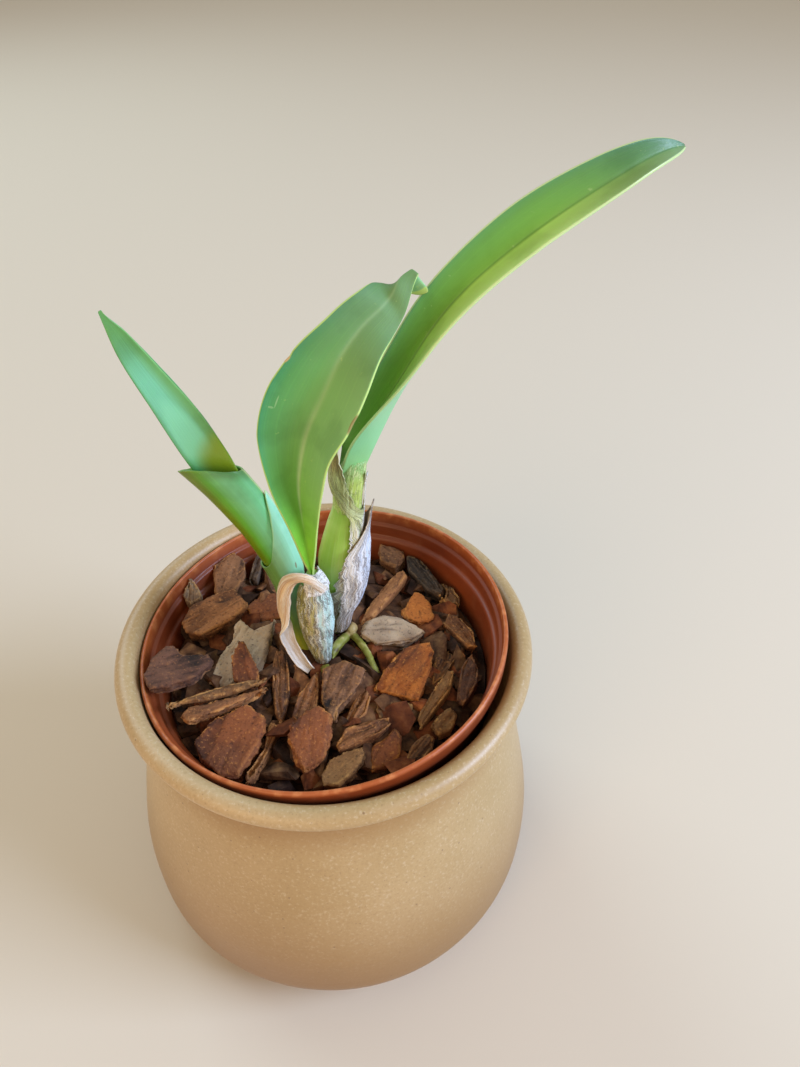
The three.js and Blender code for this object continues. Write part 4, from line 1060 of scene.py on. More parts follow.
# On the new leaf's underside, the mint band and the mint spot are a painted reflection, the dark line at the keel is
# painted shade, and the two olive spots are the painted shadow of the broad leaf.
LEAF_NEW_FINISH = leaf_material(
    "leaf_new_green",
    [(0.0, "6fb47a"), (0.5, "5f9f5a"), (1.0, "6fb47a")], [],
    [(0.0, "64a052"), (0.1, "6ab070"), (0.22, "76ccaa"), (0.38, "76ccaa"), (0.46, "4c9a52"), (0.5, "2c6428"),
     (0.56, "4c9a52"), (1.0, "64a052")],
    [(0.78, 0.96, "5a9a50", 0.9)],
    ("3f7a48", 0.05, [(0.0, 0.6), (1.0, 0.6)]), "7cb86c",
    [(0.26, 0.6, 0.15, 0.16, "88e0ba", 0.8), (0.0, 0.47, 0.4, 0.15, "86a624", 0.95),
     (1.0, 0.47, 0.4, 0.15, "86a624", 0.95)])
print("leaf finishes:", LEAF_BROAD_FINISH.name, LEAF_LONG_FINISH.name, LEAF_NEW_FINISH.name)

# %% [markdown]
# ## The lie of the leaves
# A leaf is folded along its midrib like a shallow channel, so its shape follows a rule: a midrib through space, and
# along it a half width, the angle that each half rises, and the turn of the upper face away from the front. The
# long leaf arches over to the right, the broad one folds back at its tip, and the new one is nearly shut.

# %% Leaf rules
# Lengths are in millimetres and angles in degrees. "middle" and "edge" are thicknesses, "round_tip" is the share of
# the length that rounds off, "flap" widens the left half at the tip, and each nick in the margin is given by its
# side, its place along the leaf, its length as a share of the leaf, and its depth.
LEAF_LONG = {
    "midrib": [(11.6, 8.4, 171.3), (15, 8.6, 178), (26, 11, 201.2), (39.8, 15, 223), (60, 20, 238.4),
               (86.8, 25, 252.8), (100.8, 28.7, 257)],
    "half_width": [6.2, 10.9, 12, 12.6, 12.3, 9.5, 4.6],
    "fold": [75, 64, 56, 51],
    "turn": [-90, -44, -44, -44],
    "middle": 2, "edge": 0.8, "round_tip": 0.1, "flap": 0, "nicks": [],
}
LEAF_BROAD = {
    "midrib": [(-2.7, -4, 151.8), (-4, -6, 183.4), (0, -6, 201.2), (5.7, -4.4, 213.5), (10.4, -2.6, 223),
               (15.7, -0.4, 229.2), (22.2, 2.6, 233.4), (28.8, 6.2, 238.1)],
    "half_width": [1.9, 4.6, 7.1, 9.6, 12.2, 14.2, 15.1, 13.3, 9.3, 5.6, 1.2],
    "fold": [64, 62, 61, 59, 54, 45, 40, 38, 33, 2, -70],
    "turn": [0, 3, 5, 2, -10, -28, -30, -24, -17, -25, -120],
    "middle": 1.8, "edge": 0.8, "round_tip": 0, "flap": 3,
    "nicks": [(-1, 0.7, 0.004, 0.6), (1, 0.625, 0.02, 0.4)],
}
LEAF_NEW = {
    "midrib": [(-12.6, 2.5, 141), (-17.2, 2.3, 155), (-24.9, 1.6, 173), (-32.5, 0, 191.2), (-38.5, -0.5, 209.5),
               (-42.8, -1.2, 224), (-44.5, -2, 236.5)],
    "half_width": [3.2, 4.6, 5.8, 7, 8.1, 8.8, 9.2, 10, 10.8, 10.9, 10.6, 9.8, 8.7, 7.5, 6.1, 4, 0.6],
    "fold": [78, 83, 85, 85, 82],
    "turn": [90, 90, 96, 100, 104],
    "middle": 1.2, "edge": 0.7, "round_tip": 0, "flap": 0, "nicks": [],
}
for label, rule in (("long", LEAF_LONG), ("broad", LEAF_BROAD), ("new", LEAF_NEW)):
    print(f"{label} leaf: {2 * max(rule['half_width'])} mm across where it is widest")

# %% [markdown]
# ## Leaf blades
# Two grids of points give the underside and the upper face, and one level of subdivision rounds the margins. The
# columns of the grids stand closer at the midrib and at the margins, where the shape changes most. Noise ripples the
# margin a little, more where the leaf is broad.

# %% Leaf blades
LEAF_ROWS = 120
LEAF_ACROSS = np.array([-1, -0.96, -0.86, -0.7, -0.52, -0.36, -0.2, -0.07, 0,
                        0.07, 0.2, 0.36, 0.52, 0.7, 0.86, 0.96, 1])
LEAF_ROUNDING = 1.35  # 1 is a sharp fold at the midrib, 2 an evenly curved trough
LEAF_NARROWEST = 0.8
LEAF_RIPPLE = 0.22  # how far the margin waves, in millimetres
LEAF_INSIDE = 0.15  # the upper face is never narrower than this on each side
FLAP_FROM = 0.92  # near the tip of a leaf with a flap, its left half grows wider from here
FLAP_LENGTH = 0.06


def wave(seed, *places):
    """Smooth noise from -1 to 1 at places in any unit, as an array."""
    grids = np.broadcast_arrays(*places)
    missing = [np.full(grids[0].size, 0.37 * seed)] * (3 - len(grids))
    flat = np.stack([grid.ravel() for grid in grids] + missing, axis=1)
    offset = Vector((seed * 7.3, seed * 3.1, seed * 5.7))
    return np.array([noise.noise(Vector(row) + offset) for row in flat]).reshape(grids[0].shape)


def leaf_blade(name, rule, seed):
    """Makes a leaf from its rule."""
    centres, forward = path_points(rule["midrib"], LEAF_ROWS)
    t = np.linspace(0, 1, LEAF_ROWS)
    front = unit(np.array([0.0, -1.0, 0.0]) - forward * -forward[:, 1:2])
    side = np.cross(forward, front)
    turn = np.radians(smooth(rule["turn"], t))[:, None]
    face = front * np.cos(turn) + side * np.sin(turn)
    side = side * np.cos(turn) - front * np.sin(turn)
    fold = np.radians(smooth(rule["fold"], t))
    half = smooth(rule["half_width"], t)
    if rule["round_tip"]:
        near_tip = np.maximum((t - 1 + rule["round_tip"]) / rule["round_tip"], 0)
        half = half * np.sqrt(1 - near_tip ** 2)
    half = np.maximum(half, LEAF_NARROWEST)
    wide, high = half * np.cos(fold), half * np.sin(fold)
    wide_inside = np.maximum(wide - rule["edge"] * np.sin(fold), LEAF_INSIDE)
    keel = np.minimum(rule["middle"] / np.cos(fold), 0.75 * np.abs(high) + rule["edge"] * np.cos(fold))
    high_inside = high + rule["edge"] * np.cos(fold)
    margin = np.abs(LEAF_ACROSS) ** 4
    bite = np.zeros((LEAF_ROWS, len(LEAF_ACROSS)))
    for hand, place, width, depth in rule["nicks"]:
        near = depth * np.exp(-((t - place) / width) ** 2) / half
        bite += near[:, None] * margin * (np.sign(LEAF_ACROSS) == hand)
    waves = LEAF_RIPPLE * wave(seed, t[:, None] * 9, np.sign(LEAF_ACROSS) * 3)
    ripple = waves * margin * np.minimum(half / 6, 1)[:, None]
    grown = np.clip((t - FLAP_FROM) / FLAP_LENGTH, 0, 1)
    longer = 1 + rule["flap"] * (ease(grown) / half)[:, None] * (LEAF_ACROSS < 0)

    def sheet(across, low, top):
        bend = (np.abs(LEAF_ACROSS) * (1 - bite)) ** LEAF_ROUNDING * longer
        shift = (across[:, None] * LEAF_ACROSS * (1 - bite) * longer)[..., None] * side[:, None]
        lift = (low[:, None] + (top - low)[:, None] * bend + ripple)[..., None] * face[:, None]
        return centres[:, None] + (shift + lift) * MM

    return sheet_piece(name, sheet(wide, np.zeros_like(wide), high), sheet(wide_inside, keel, high_inside))


place_piece(leaf_blade("long_leaf", LEAF_LONG, 21), LEAF_LONG_FINISH, "leaf", "leaf_long")
place_piece(leaf_blade("broad_leaf", LEAF_BROAD, 22), LEAF_BROAD_FINISH, "leaf", "leaf_broad")
place_piece(leaf_blade("new_leaf", LEAF_NEW, 23), LEAF_NEW_FINISH, "fresh", "leaf_new")

# %% [markdown]
# ## Pseudobulbs
# A cattleya stores water in swollen stems. Their skin is smooth and green, with shallow ribs that run lengthwise.
# Each one is a stack of rings, wider in the middle, whose radius gets a small wave for the ribs.

# %% Pseudobulbs
# Rows of (height, x, y, radius) in millimetres.
BULB_FRONT = [(109.6, -1.4, -4, 1.6), (113, -1.8, -4, 1.9), (118, -2.2, -4, 2.9), (124, -2.5, -4, 3.9),
              (130, -2.6, -4, 4.6), (137, -2.8, -4, 4.5), (144, -2.8, -4, 3.6), (149, -2.6, -4, 2.3),
              (151.2, -2.6, -4, 1.5)]
BULB_BACK = [(109.6, 4.5, 9, 1.9), (113, 4.6, 9, 2.1), (120, 4.9, 9, 3.2), (126, 5.8, 9, 4.9), (132, 6.1, 9, 6.1),
             (138, 6.2, 9, 6.8), (144, 6.3, 9, 6.8), (150, 7, 9, 6.2), (158, 8.2, 9, 5.2), (164, 9.3, 8.8, 4.4),
             (170.8, 10.1, 8.5, 3.9)]
BULB_ROWS = 60
BULB_SIDES = 72
BULB_RIBS = 9
BULB_RIB_DEPTH = 0.014  # shares of the radius
BULB_DENT_DEPTH = 0.012


def loft_piece(name, rings):
    """A closed solid through rings of points, with UVs round and along it."""
    rows, sides = rings.shape[:2]
    points = np.vstack([rings.reshape(-1, 3), rings[0].mean(axis=0), rings[-1].mean(axis=0)])
    faces, corner_uv = [], []
    for i in range(rows - 1):
        for j in range(sides):
            corners = [(i, j), (i, j + 1), (i + 1, j + 1), (i + 1, j)]
            faces.append([row * sides + column % sides for row, column in corners])
            corner_uv.extend([(column / sides, row / (rows - 1)) for row, column in corners])
    for row, middle, order in ((0, len(points) - 2, -1), (rows - 1, len(points) - 1, 1)):
        for j in range(sides):
            faces.append([row * sides + j, row * sides + (j + 1) % sides, middle][::order])
            corner_uv.extend([(j / sides, row / (rows - 1))] * 3)
    return finish_mesh(name, points, faces, corner_uv)


def rings_round(x, y, heights, reach_x, reach_y, turn):
    """Rings of points round a stem, from its middle and how far they reach to the sides, in millimetres."""
    rings = np.broadcast_arrays(x + reach_x * np.cos(turn), y + reach_y * np.sin(turn), heights)
    return np.stack(rings, axis=2) * MM


def bulb_piece(name, rows, seed):
    """A pseudobulb with shallow ribs and a slightly uneven skin."""
    heights = np.linspace(rows[0][0], rows[-1][0], BULB_ROWS)[:, None]
    x, y, radius = rows_at(rows, heights)
    turn = np.linspace(0, 2 * np.pi, BULB_SIDES, endpoint=False)
    wander = 0.6 * wave(seed, heights * 0.08, 0)
    ribs = 1 + BULB_RIB_DEPTH * np.cos(BULB_RIBS * turn + wander) - BULB_RIB_DEPTH
    dents = BULB_DENT_DEPTH * wave(seed + 1, np.cos(turn) * 1.5, np.sin(turn) * 1.5, heights * 0.12)
    reach = radius * (ribs + dents)
    return loft_piece(name, rings_round(x, y, heights, reach, reach, turn))


def bulb_material():
    """Smooth green skin with pale lengthwise lines and a few small dark flecks."""
    material, tree, inputs = new_material("pseudobulb_green", 0.36, Subsurface_Weight=0.06, Subsurface_Scale=0.003)
    lines = sheet_noise(sheet_uv(tree), 60, 2, 3.0)
    body = object_noise(tree, 60, 3).ramp((0.3, "88b236"), (0.55, "a4cc50"), (0.75, "bcdc70"))
    body = body.under("c3d58c", lines.steps(0.5, 0.75) * 0.35)
    body = body.under("5a4a1e", object_noise(tree, 420, 2).steps(0.7, 0.74) * 0.6)
    paint(inputs, body, lines, 0.3, 0.4 * MM)
    return material


BULB_FINISH = bulb_material()
place_piece(bulb_piece("front_pseudobulb", BULB_FRONT, 31), BULB_FINISH, "bulb", "pseudobulb_front")
place_piece(bulb_piece("back_pseudobulb", BULB_BACK, 33), BULB_FINISH, "bulb", "pseudobulb_back")

# %% [markdown]
# ## Dry paper
# Each new stem is wrapped in leaf-like sheaths that dry to a silvery paper. It is dull, streaked lengthwise with
# silver fibres and dark creases, netted with fine veins, and sheer enough in places for the green to show through.
# Real holes would show the same, but their torn edges would need far more faces than a painted stretch does.

# %% Material: papery sheath
def paper_material(name, across, tints, net, flake, inside, bumpy=0.8, sheer=()):
    """Dry paper: painted across and along, with silver fibres, stretches (from v, to v, colour, strength) where it
    is sheer, dark creases that wander lengthwise, a net of thin veins between them, and its own inner side."""
    material, tree, inputs = new_material(name, 0.5, Specular_IOR_Level=0.45)
    uv = sheet_uv(tree)
    fibres = sheet_noise(uv, 40, 4, 4.0)
    shreds = sheet_noise(uv, 80, 12, 4.0)
    body = painted(uv, across, tints, 0.55).under(flake, fibres.steps(0.48, 0.6) * 0.8)
    reach = uv.parts()[1] + shreds * 0.2
    for start, end, shade, strength in sheer:
        body = body.under(shade, reach.steps(start, end) * strength)
    creases = (sheet_noise(uv, 18, 2.4, 4.0) - 0.5).math("ABSOLUTE").steps(0.035, 0.005)
    sized = node(tree, "ShaderNodeMapping", {"Vector": uv, "Scale": (30, 16, 1)})[0]
    cells = node(tree, "ShaderNodeTexVoronoi", {"Vector": sized, "Scale": 1.0}, feature="DISTANCE_TO_EDGE")
    lines = cells["Distance"].steps(0.1, 0.02) * sheet_noise(uv, 7, 5, 2.0).steps(0.42, 0.62)
    dark = (lines * 0.72).math("MAXIMUM", creases * 0.72).math("MAXIMUM", shreds.steps(0.4, 0.28) * 0.6)
    body = body.under(net, dark)
    inner = node(tree, "ShaderNodeMix", {0: dark * 0.45, 6: inside, 7: net}, data_type="RGBA")[2]
    paint(inputs, body.under(inner, stored(tree, "side")), fibres + shreds * 0.6 - dark * 0.5, bumpy, 0.6 * MM)
    return material


# u runs from the start angle to the end angle of each sheath below, so anticlockwise as seen from above.
# The pale silver-teal on the right half of the front sheath, towards the window, is a painted sheen.
SHEATH_FRONT_FINISH = paper_material(
    "sheath_olive_silver",
    [(0.1, "a8a458"), (0.26, "c4c07c"), (0.34, "d8c8a0"), (0.42, "c4dccc"), (0.54, "d4fcf6"), (0.75, "c0e4da")],
    [(0.16, 0.0, "8c7250", 0.8), (0.86, 1.0, "a08c70", 0.5)], "3c3226", "f0f8f2", "c9c4a8")
SHEATH_BACK_FINISH = paper_material(
    "sheath_mottled",
    [(0.0, "fbf8f0"), (0.07, "e6dab0"), (0.16, "c4ce78"), (0.27, "ece8d4"), (0.42, "e8f0f0"), (0.8, "c9c6a8")],
    [(0.22, 0.04, "8f6a44", 0.85)], "5a4430", "fcfcf4", "dfe0c0",
    sheer=[(0.7, 0.8, "e4ec88", 0.7), (0.97, 1.04, "b8985c", 0.8)])
SHEATH_OUTER_FINISH = paper_material(
    "sheath_silver",
    [(0.0, "fcf8f0"), (0.14, "dccdb6"), (0.24, "f8fbff"), (0.42, "d4e2f8"), (0.56, "fafdff"), (0.72, "d0c4b8"),
     (0.9, "f0f4fa")],
    [(0.26, 0.06, "a08060", 0.8), (0.84, 0.93, "7c5434", 0.9)], "6a5a54", "ffffff", "b89c7c")
COLLAR_FINISH = paper_material(
    "sheath_white",
    [(0.0, "fbfaf4"), (0.4, "eceae0"), (0.7, "f8faf8"), (1.0, "e4dccb")], [], "8a7a66", "ffffff", "d8d2c0", bumpy=0.6)
print("sheath finishes:", SHEATH_FRONT_FINISH.name, SHEATH_BACK_FINISH.name, SHEATH_OUTER_FINISH.name,
      COLLAR_FINISH.name)

# %% [markdown]
# ## Papery sheaths
# The sheaths split open down one side, crease lengthwise and fray along the split. A sheath follows its stem at a
# small distance. The angles where it starts and ends change with the height, and noise makes the split ragged and
# lifts the paper in ridges. The outer sheath lies over the back one and stands off its stem towards the top.

# %% Sheaths
# Rows of (height, x, y, radius) that carry the back stem on above its bulb.
FOOT_BACK = [(175, 10, 8.6, 4.4), (180, 10.7, 8.7, 4.9), (184, 11.8, 8.8, 5.4), (188, 13.8, 8.9, 5.8)]
# Rows of (height, start angle, end angle, stand-off on the right). Angles go round from +X, and -90 is the front.
SHEATH_FRONT = [(111.5, -190, 100, 0), (120, -185, 95, 0), (130, -180, 90, 0), (140, -180, 85, 0),
                (147.5, -175, 80, 0)]
SHEATH_BACK = [(111.5, -170, 150, 0), (120, -152, 150, 0), (126, -132, 147, 0), (132, -118, 144, 0),
               (141, -98, 140, 0), (150, -80, 120, 0), (158, -74, 100, 0), (160, -76, 80, 0), (162, -79, 48, 0),
               (164, -84, 4, 0), (166, -98, -44, 0), (168, -118, -62, 0), (170.8, -142, -76, 0),
               (173, -168, -86, 0), (176, -186, -96, 0), (180, -196, -108, 0), (184, -198, -128, 0),
               (188, -196, -156, 0)]
SHEATH_OUTER = [(112.5, -112, 88, 0), (116, -105, 86, 0), (120, -100, 84, 0.2), (132, -94, 80, 0.8),
                (144, -90, 72, 1.3), (150, -84, 58, 1.4), (153, -72, 50, 1.2), (155.4, -54, 42, 1.1),
                (157.6, -36, 32, 1.2), (160, -24, 20, 1.3), (164, -18, 4, 1.6), (167.5, -12, -4, 2.1)]
SHEATH_GAP = 0.4
SHEATH_LAYER = 1.0  # from one sheath to the next
SHEATH_HUG = 4  # how closely a sheath clings away from the side where it stands off
SHEATH_SWAY = 5  # percent of its width by which each side of the split sways
FINE_CREASE = 0.14
PAPER = 0.35  # thickness


def sheath_piece(name, rows, bulb, layer, seed, columns=72, steps=150, crease=0.4, fray=3.0, flare=0.0):
    """A creased, frayed sheath round a stem. The fray is in percent of its width, the rest in millimetres."""
    heights = np.linspace(rows[0][0], rows[-1][0], steps)
    start, end, off = straight_at(rows, heights)
    x, y, radius = straight_at(bulb, heights)
    span = (end - start) / 100
    start = start + span * (SHEATH_SWAY * wave(seed, heights * 0.35) + fray * wave(seed + 1, heights * 1.6))
    end = end + span * (SHEATH_SWAY * wave(seed + 2, heights * 0.35) + fray * wave(seed + 3, heights * 1.6))
    angle = np.radians(start[:, None] + (end - start)[:, None] * np.linspace(0, 1, columns))
    creases = 0.5 + 0.5 * wave(seed + 4, angle * 4, heights[:, None] * 0.06)
    folds = np.abs(wave(seed + 6, angle * 9, heights[:, None] * 0.09))
    fine = 0.5 + 0.5 * wave(seed + 5, angle * 22, heights[:, None] * 0.2)
    gap = SHEATH_GAP + SHEATH_LAYER * layer + crease * (creases + 0.8 * folds) + FINE_CREASE * fine
    gap = gap + flare * np.linspace(0, 1, steps)[:, None] ** 2

    def sheet(extra):
        reach = radius[:, None] + gap + extra + off[:, None] * np.maximum(np.cos(angle), 0) ** SHEATH_HUG
        return rings_round(x[:, None], y[:, None], heights[:, None], reach, reach, angle)

    return sheet_piece(name, sheet(PAPER), sheet(0), levels=0)


BACK_STEM = BULB_BACK + FOOT_BACK
SHEATHS = (  # name, rows, stem, layer, seed, finish, node
    ("front_sheath", SHEATH_FRONT, BULB_FRONT, 0, 1, SHEATH_FRONT_FINISH, "sheath_front"),
    ("back_sheath", SHEATH_BACK, BACK_STEM, 0, 2, SHEATH_BACK_FINISH, "sheath_back"),
    ("outer_sheath", SHEATH_OUTER, BULB_BACK, 0.8, 3, SHEATH_OUTER_FINISH, "sheath_back_outer"),
)
for *shape, finish, solid in SHEATHS:
    place_piece(sheath_piece(*shape), finish, "papery", solid)

# %% [markdown]
# ## Loose strips of paper
# Two scraps of the same dry paper stay behind where older sheaths have torn away: a narrow silver strip that runs up
# the back stem, and a crumpled collar round the neck of the front one. They are cut and creased like the sheaths.
# The strip is more frayed, and the collar closes in towards its top.

# %% Strip and collar
SILVER_STRIP = [(157, -34, 30, 0), (162, -26, 16, 0), (167, -20, 6, 0), (172, -18, 0, 0), (176, -22, -6, 0),
                (179, -34, -22, 0)]
COLLAR = [(145.4, -112, 44, 0), (147.4, -134, 60, 0), (149.6, -150, 62, 0), (152, -150, 36, 0)]

place_piece(sheath_piece("silver_strip", SILVER_STRIP, BACK_STEM, 0.25, 6, columns=18, crease=0.2, fray=9),
            COLLAR_FINISH, "papery")
place_piece(sheath_piece("paper_collar", COLLAR, BULB_FRONT, 0.4, 7, steps=50, crease=0.7, flare=-0.9),
            COLLAR_FINISH, "papery")

# %% [markdown]
# ## The foot of the long leaf
# Between the back pseudobulb and the open blade, the long leaf is still folded shut round its own midrib. That foot
# is a narrow stack of ellipses with fine ribs, flatter towards the top, where the blade opens. Its finish is the
# paper's with hardly any relief, because a young leaf foot has the same close lengthwise lines.

# %% Leaf foot
# Rows of (height, x, y, half width along x and along y) in millimetres.
FOOT = [(165, 9.7, 8.7, 4.35, 4.35), (170, 10, 8.6, 4.4, 4.3), (174, 10.6, 8.6, 4.4, 4), (178, 11.4, 8.6, 4.2, 3.4),
        (182, 12.6, 8.7, 3.4, 2.6)]
FOOT_RIBS = 16
FOOT_RIB_DEPTH = 0.06
FOOT_FINISH = paper_material(
    "foot_yellow_green",
    [(0.0, "b4c85c"), (0.5, "bcd06a"), (1.0, "b4c85c")], [(0.55, 1.0, "94cc86", 0.9)], "7c8a44", "d4de9c", "b4c85c",
    bumpy=0.3)


def foot_piece(name):
    """The closed, folded foot of the long leaf, between the back pseudobulb and the open blade."""
    heights = np.linspace(FOOT[0][0], FOOT[-1][0], 30)[:, None]
    x, y, half_x, half_y = rows_at(FOOT, heights)
    turn = np.linspace(0, 2 * np.pi, BULB_SIDES, endpoint=False)
    ribs = FOOT_RIB_DEPTH * np.cos(FOOT_RIBS * turn)
    return loft_piece(name, rings_round(x, y, heights, half_x + ribs, half_y + ribs, turn))


place_piece(foot_piece("long_leaf_foot"), FOOT_FINISH, "leaf")

# %% [markdown]
# ## The new shoot
# The youngest growth comes up on the left. Its second leaf is still a closed sleeve, and the first leaf grows out of
# it. Round the foot of both lies one more green sheath. Each sleeve is a stack of ellipses, and its rim runs higher
# on one side.

# %% New shoot
# Rows of (height, x, y, half width along x and along y) in millimetres.
SHOOT = [(112.6, -6.9, 1.9, 1.6, 1.6), (118, -8.1, 2, 1.9, 1.8), (124, -9, 2.2, 2.2, 2.1), (131, -9.5, 2.4, 2.8, 2.4),
         (141, -9.9, 2.5, 3.9, 2.9), (148, -10.9, 2.5, 4.9, 3.3), (155, -12.7, 2.4, 5.6, 3.6),
         (165, -15.7, 2, 6.4, 3.9), (173, -18.9, 1.7, 7.1, 4.1), (180, -22.1, 1.4, 7.4, 4.2),
         (186, -25.2, 1, 7.5, 4.2), (191, -27.9, 0.6, 7.4, 4.1)]
SLEEVE = {"bottom": 112.6, "low": 187, "rise": 4, "towards": -110, "flare": 1.4, "offset": 0, "wall": 0.7}
SHOOT_SHEATH = {"bottom": 111.5, "low": 151, "rise": 28, "towards": 0, "flare": 0, "offset": 1.05, "wall": 0.6}


def sleeve_piece(name, rim, seed, rows=90, sides=80):
    """A closed sleeve round the shoot."""
    angle = np.linspace(0, 2 * np.pi, sides, endpoint=False)
    top = rim["low"] + rim["rise"] * (0.5 + 0.5 * np.cos(angle - math.radians(rim["towards"]))) ** 2
    top = top + 0.25 * wave(seed, np.cos(angle) * 3, np.sin(angle) * 3)
    t = np.linspace(0, 1, rows)[:, None]
    heights = rim["bottom"] + (top - rim["bottom"]) * t
    x, y, half_x, half_y = straight_at(SHOOT, heights)
    flare = rim["flare"] * t ** 8 * np.maximum(-np.cos(angle), 0)
    ribs = 0.1 * wave(seed + 1, np.cos(angle) * 7, np.sin(angle) * 7, heights * 0.02)

    def sheet(out):
        return rings_round(x, y, heights, half_x + out + flare + ribs, half_y + out + ribs, angle)

    return sheet_piece(name, sheet(rim["offset"]), sheet(rim["offset"] - rim["wall"]), around=True)


# Round a sleeve, u is 0.5 on the left, 0.75 at the front and 1 on the right. Its outer side is the underside.
# The mint towards the front and right of the sleeve is a painted reflection.
SLEEVE_FINISH = leaf_material(
    "sleeve_green",
    [(0.0, "9ccf8a"), (1.0, "9ccf8a")], [],
    [(0.0, "62a65c"), (0.5, "708400"), (0.64, "6c8c00"), (0.7, "68b83c"), (0.78, "80d49c"), (0.9, "80d49c"),
     (1.0, "62a65c")],
    [(0.55, 0.3, "5c7c3c", 0.85), (0.94, 0.99, "55701c", 0.5)],
    ("7fb06a", 0.02, [(0.0, 0.0), (1.0, 0.0)]), "b9cf8a")
# The mint at the edges of the shoot sheath is a painted reflection.
SHOOT_SHEATH_FINISH = leaf_material(
    "shoot_sheath_green",
    [(0.0, "9ccf8a"), (1.0, "9ccf8a")], [],
    [(0.0, "90cca8"), (0.5, "5c7c38"), (0.7, "6c9c50"), (0.8, "98d8b2"), (1.0, "9adcbe")],
    [(0.6, 0.3, "6c9040", 0.85), (0.34, 0.12, "a8b440", 0.9)],
    ("7fb06a", 0.02, [(0.0, 0.0), (1.0, 0.0)]), "c3d6a0", [(0.88, 0.66, 0.012, 0.02, "8a6a4a", 0.8)])
place_piece(sleeve_piece("second_leaf_sleeve", SLEEVE, 41), SLEEVE_FINISH, "fresh", "leaf_second")
place_piece(sleeve_piece("shoot_foot_sheath", SHOOT_SHEATH, 43), SHOOT_SHEATH_FINISH, "fresh", "shoot_sheath")

# %% [markdown]
# ## The curled bract
# At the front, a dry bract has split off the stem and curls round the foot of the shoot. It is a strip of paper, tan
# outside and nearly white inside, that is bent across its width and follows a path. It twists on its way down: the
# outside faces away from the stem at the top, and the white inside turns to the front at the bottom. The outward
# direction of each cross-section is therefore mixed from two.

# %% Bract
BRACT = {
    "path": [(0.6, -9.6, 148.4), (-2.6, -9.9, 152.6), (-6.3, -9.2, 153.8), (-10, -7.5, 151), (-12.4, -6.2, 144.6),
             (-13.2, -5.6, 137), (-12.7, -6, 129), (-11, -7.2, 121.6), (-8.4, -8.4, 115.6), (-5.8, -9.2, 112)],
    "half_width": [1, 1.3, 1.8, 2.4, 2.7, 2.6, 2.2, 1.9, 1.8, 1.3],
    "curl": 62, "thick": 0.45, "rows": 160, "twist": (0.5, 0.74), "turned": (-0.25, 0.95, 0.15),
}


def bract_piece(name):
    """The curled strip, with creases, a twist and a frayed margin."""
    centres, forward = path_points(BRACT["path"], BRACT["rows"])
    t = np.linspace(0, 1, BRACT["rows"])
    away = unit(np.stack([centres[:, 0] / MM + 4, centres[:, 1] / MM - 1, np.zeros(len(t))], axis=1))
    begin, end = BRACT["twist"]
    mix = ease(np.clip((t - begin) / (end - begin), 0, 1))[:, None]
    outward = away * (1 - mix) + np.array(BRACT["turned"]) * mix
    outward = unit(outward - forward * np.sum(outward * forward, axis=1, keepdims=True))
    side = np.cross(forward, outward)
    across = np.linspace(-1, 1, 25)
    fray = 1 + 0.16 * wave(11, t[:, None] * 18, np.sign(across) * 3) * np.abs(across)
    half = smooth(BRACT["half_width"], t)[:, None] * fray
    reach = half / math.sin(math.radians(BRACT["curl"]))
    bend = np.radians(BRACT["curl"]) * across
    crease = 0.32 * wave(12, t[:, None] * 7, across * 3.5) + 0.2 * np.abs(wave(13, t[:, None] * 26, across * 7))

    def sheet(offset):
        shift = (reach + offset) * np.sin(bend)
        lift = (reach + offset) * np.cos(bend) - reach + crease
        return centres[:, None] + (shift[..., None] * side[:, None] + lift[..., None] * outward[:, None]) * MM

    return sheet_piece(name, sheet(BRACT["thick"]), sheet(0))


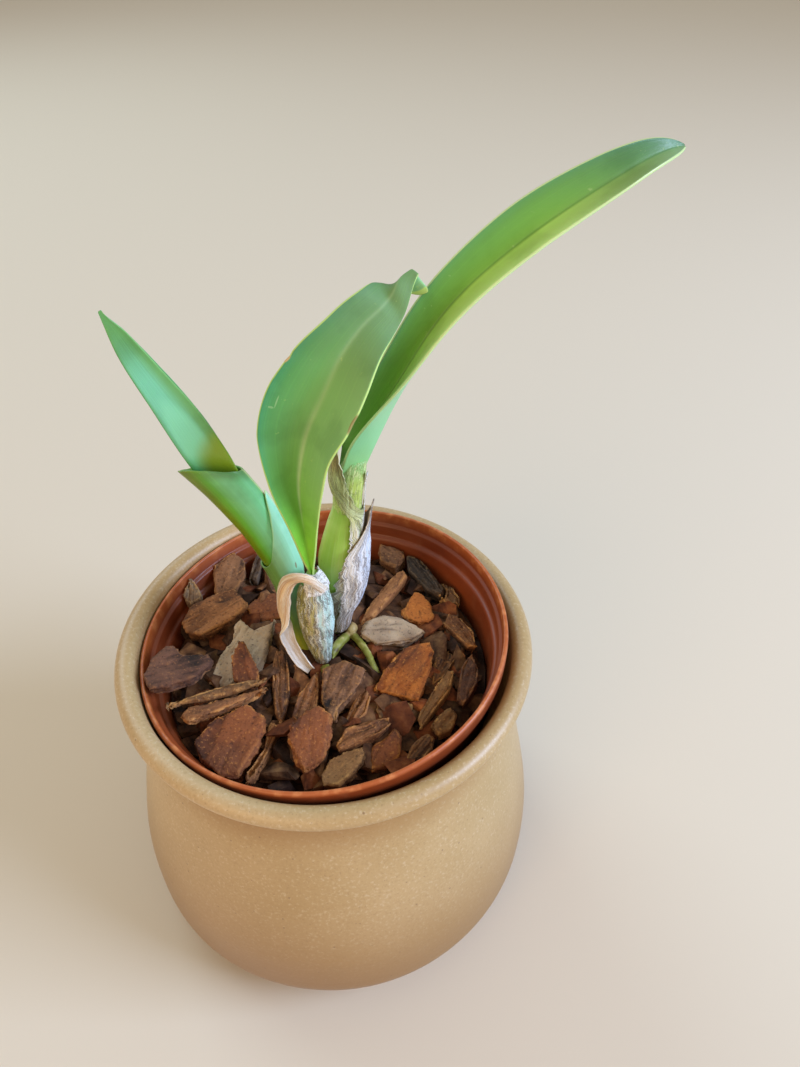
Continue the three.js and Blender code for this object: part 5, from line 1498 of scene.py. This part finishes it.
BRACT_FINISH = paper_material(
    "bract_straw",
    [(0.0, "fffaf0"), (0.1, "ffe8c4"), (0.2, "dcaa74"), (0.3, "fff2d8"), (0.48, "ffdca4"), (0.6, "cc9860"),
     (0.72, "fff6e4"), (0.88, "eac896"), (1.0, "ffffff")],
    [(0.14, 0.04, "f6f8f6", 0.8), (0.93, 1.0, "6f4a2e", 0.9)], "e0b880", "fffaec", "ece4d8", bumpy=0.6)
place_piece(bract_piece("curled_bract"), BRACT_FINISH, "straw", "bract_curled")

# %% [markdown]
# ## Rhizome and roots
# The stems stand on a creeping rhizome with a dry tan knob, and short green roots with brown patches reach over the
# bark. A copy of the solid is remeshed, so that the joints between the roots melt together. Its points then swell
# outwards by the thickness of the soft skin, and the tree that made the bark roughens them at a smaller depth.

# %% Roots
ROOT_KNOB = (8.6 * MM, 6.8 * MM, 112 * MM)  # the dry knob of the rhizome
ROOT_KNOB_EDGE = (3.6 * MM, 2.2 * MM)  # how far its tan reaches, from no tint to the full one


def root_material():
    """Green skin that is dry and brown in patches, with a tan knob."""
    material, tree, inputs = new_material("root_green_brown", 0.5)
    body = object_noise(tree, 240, 5).ramp((0.34, "4e3a1a"), (0.43, "74742a"), (0.56, "909440"), (0.7, "c2b67c"))
    reach = object_place(tree).vector("DISTANCE", ROOT_KNOB)
    body = body.under("b89c6c", reach.steps(*ROOT_KNOB_EDGE) * 0.75)
    paint(inputs, body, object_noise(tree, 500, 4), 0.5, 0.5 * MM)
    return material


ROOT_VOXEL = 0.35 * MM
ROOT_SWELL = 0.45 * MM  # the soft skin round the stiff core
root_mesh = remeshed("even roots", NODES["rhizome_roots"], ROOT_VOXEL, smoothing=6)
for point, turned in zip(root_mesh.vertices, [tuple(point.normal) for point in root_mesh.vertices]):
    point.co = [place + ROOT_SWELL * away for place, away in zip(point.co, turned)]
roots = run_tree("rhizome_and_roots", CARVE, root_mesh, Through=(0, 0, 1), Along=(1, 0, 0), Side_depth=0.1 * MM,
                 Flake_depth=0.08 * MM, Crumb_depth=0.1 * MM, Layer=LAYER, Seed=40.0)
place_piece(roots, root_material(), "root", "rhizome_roots")
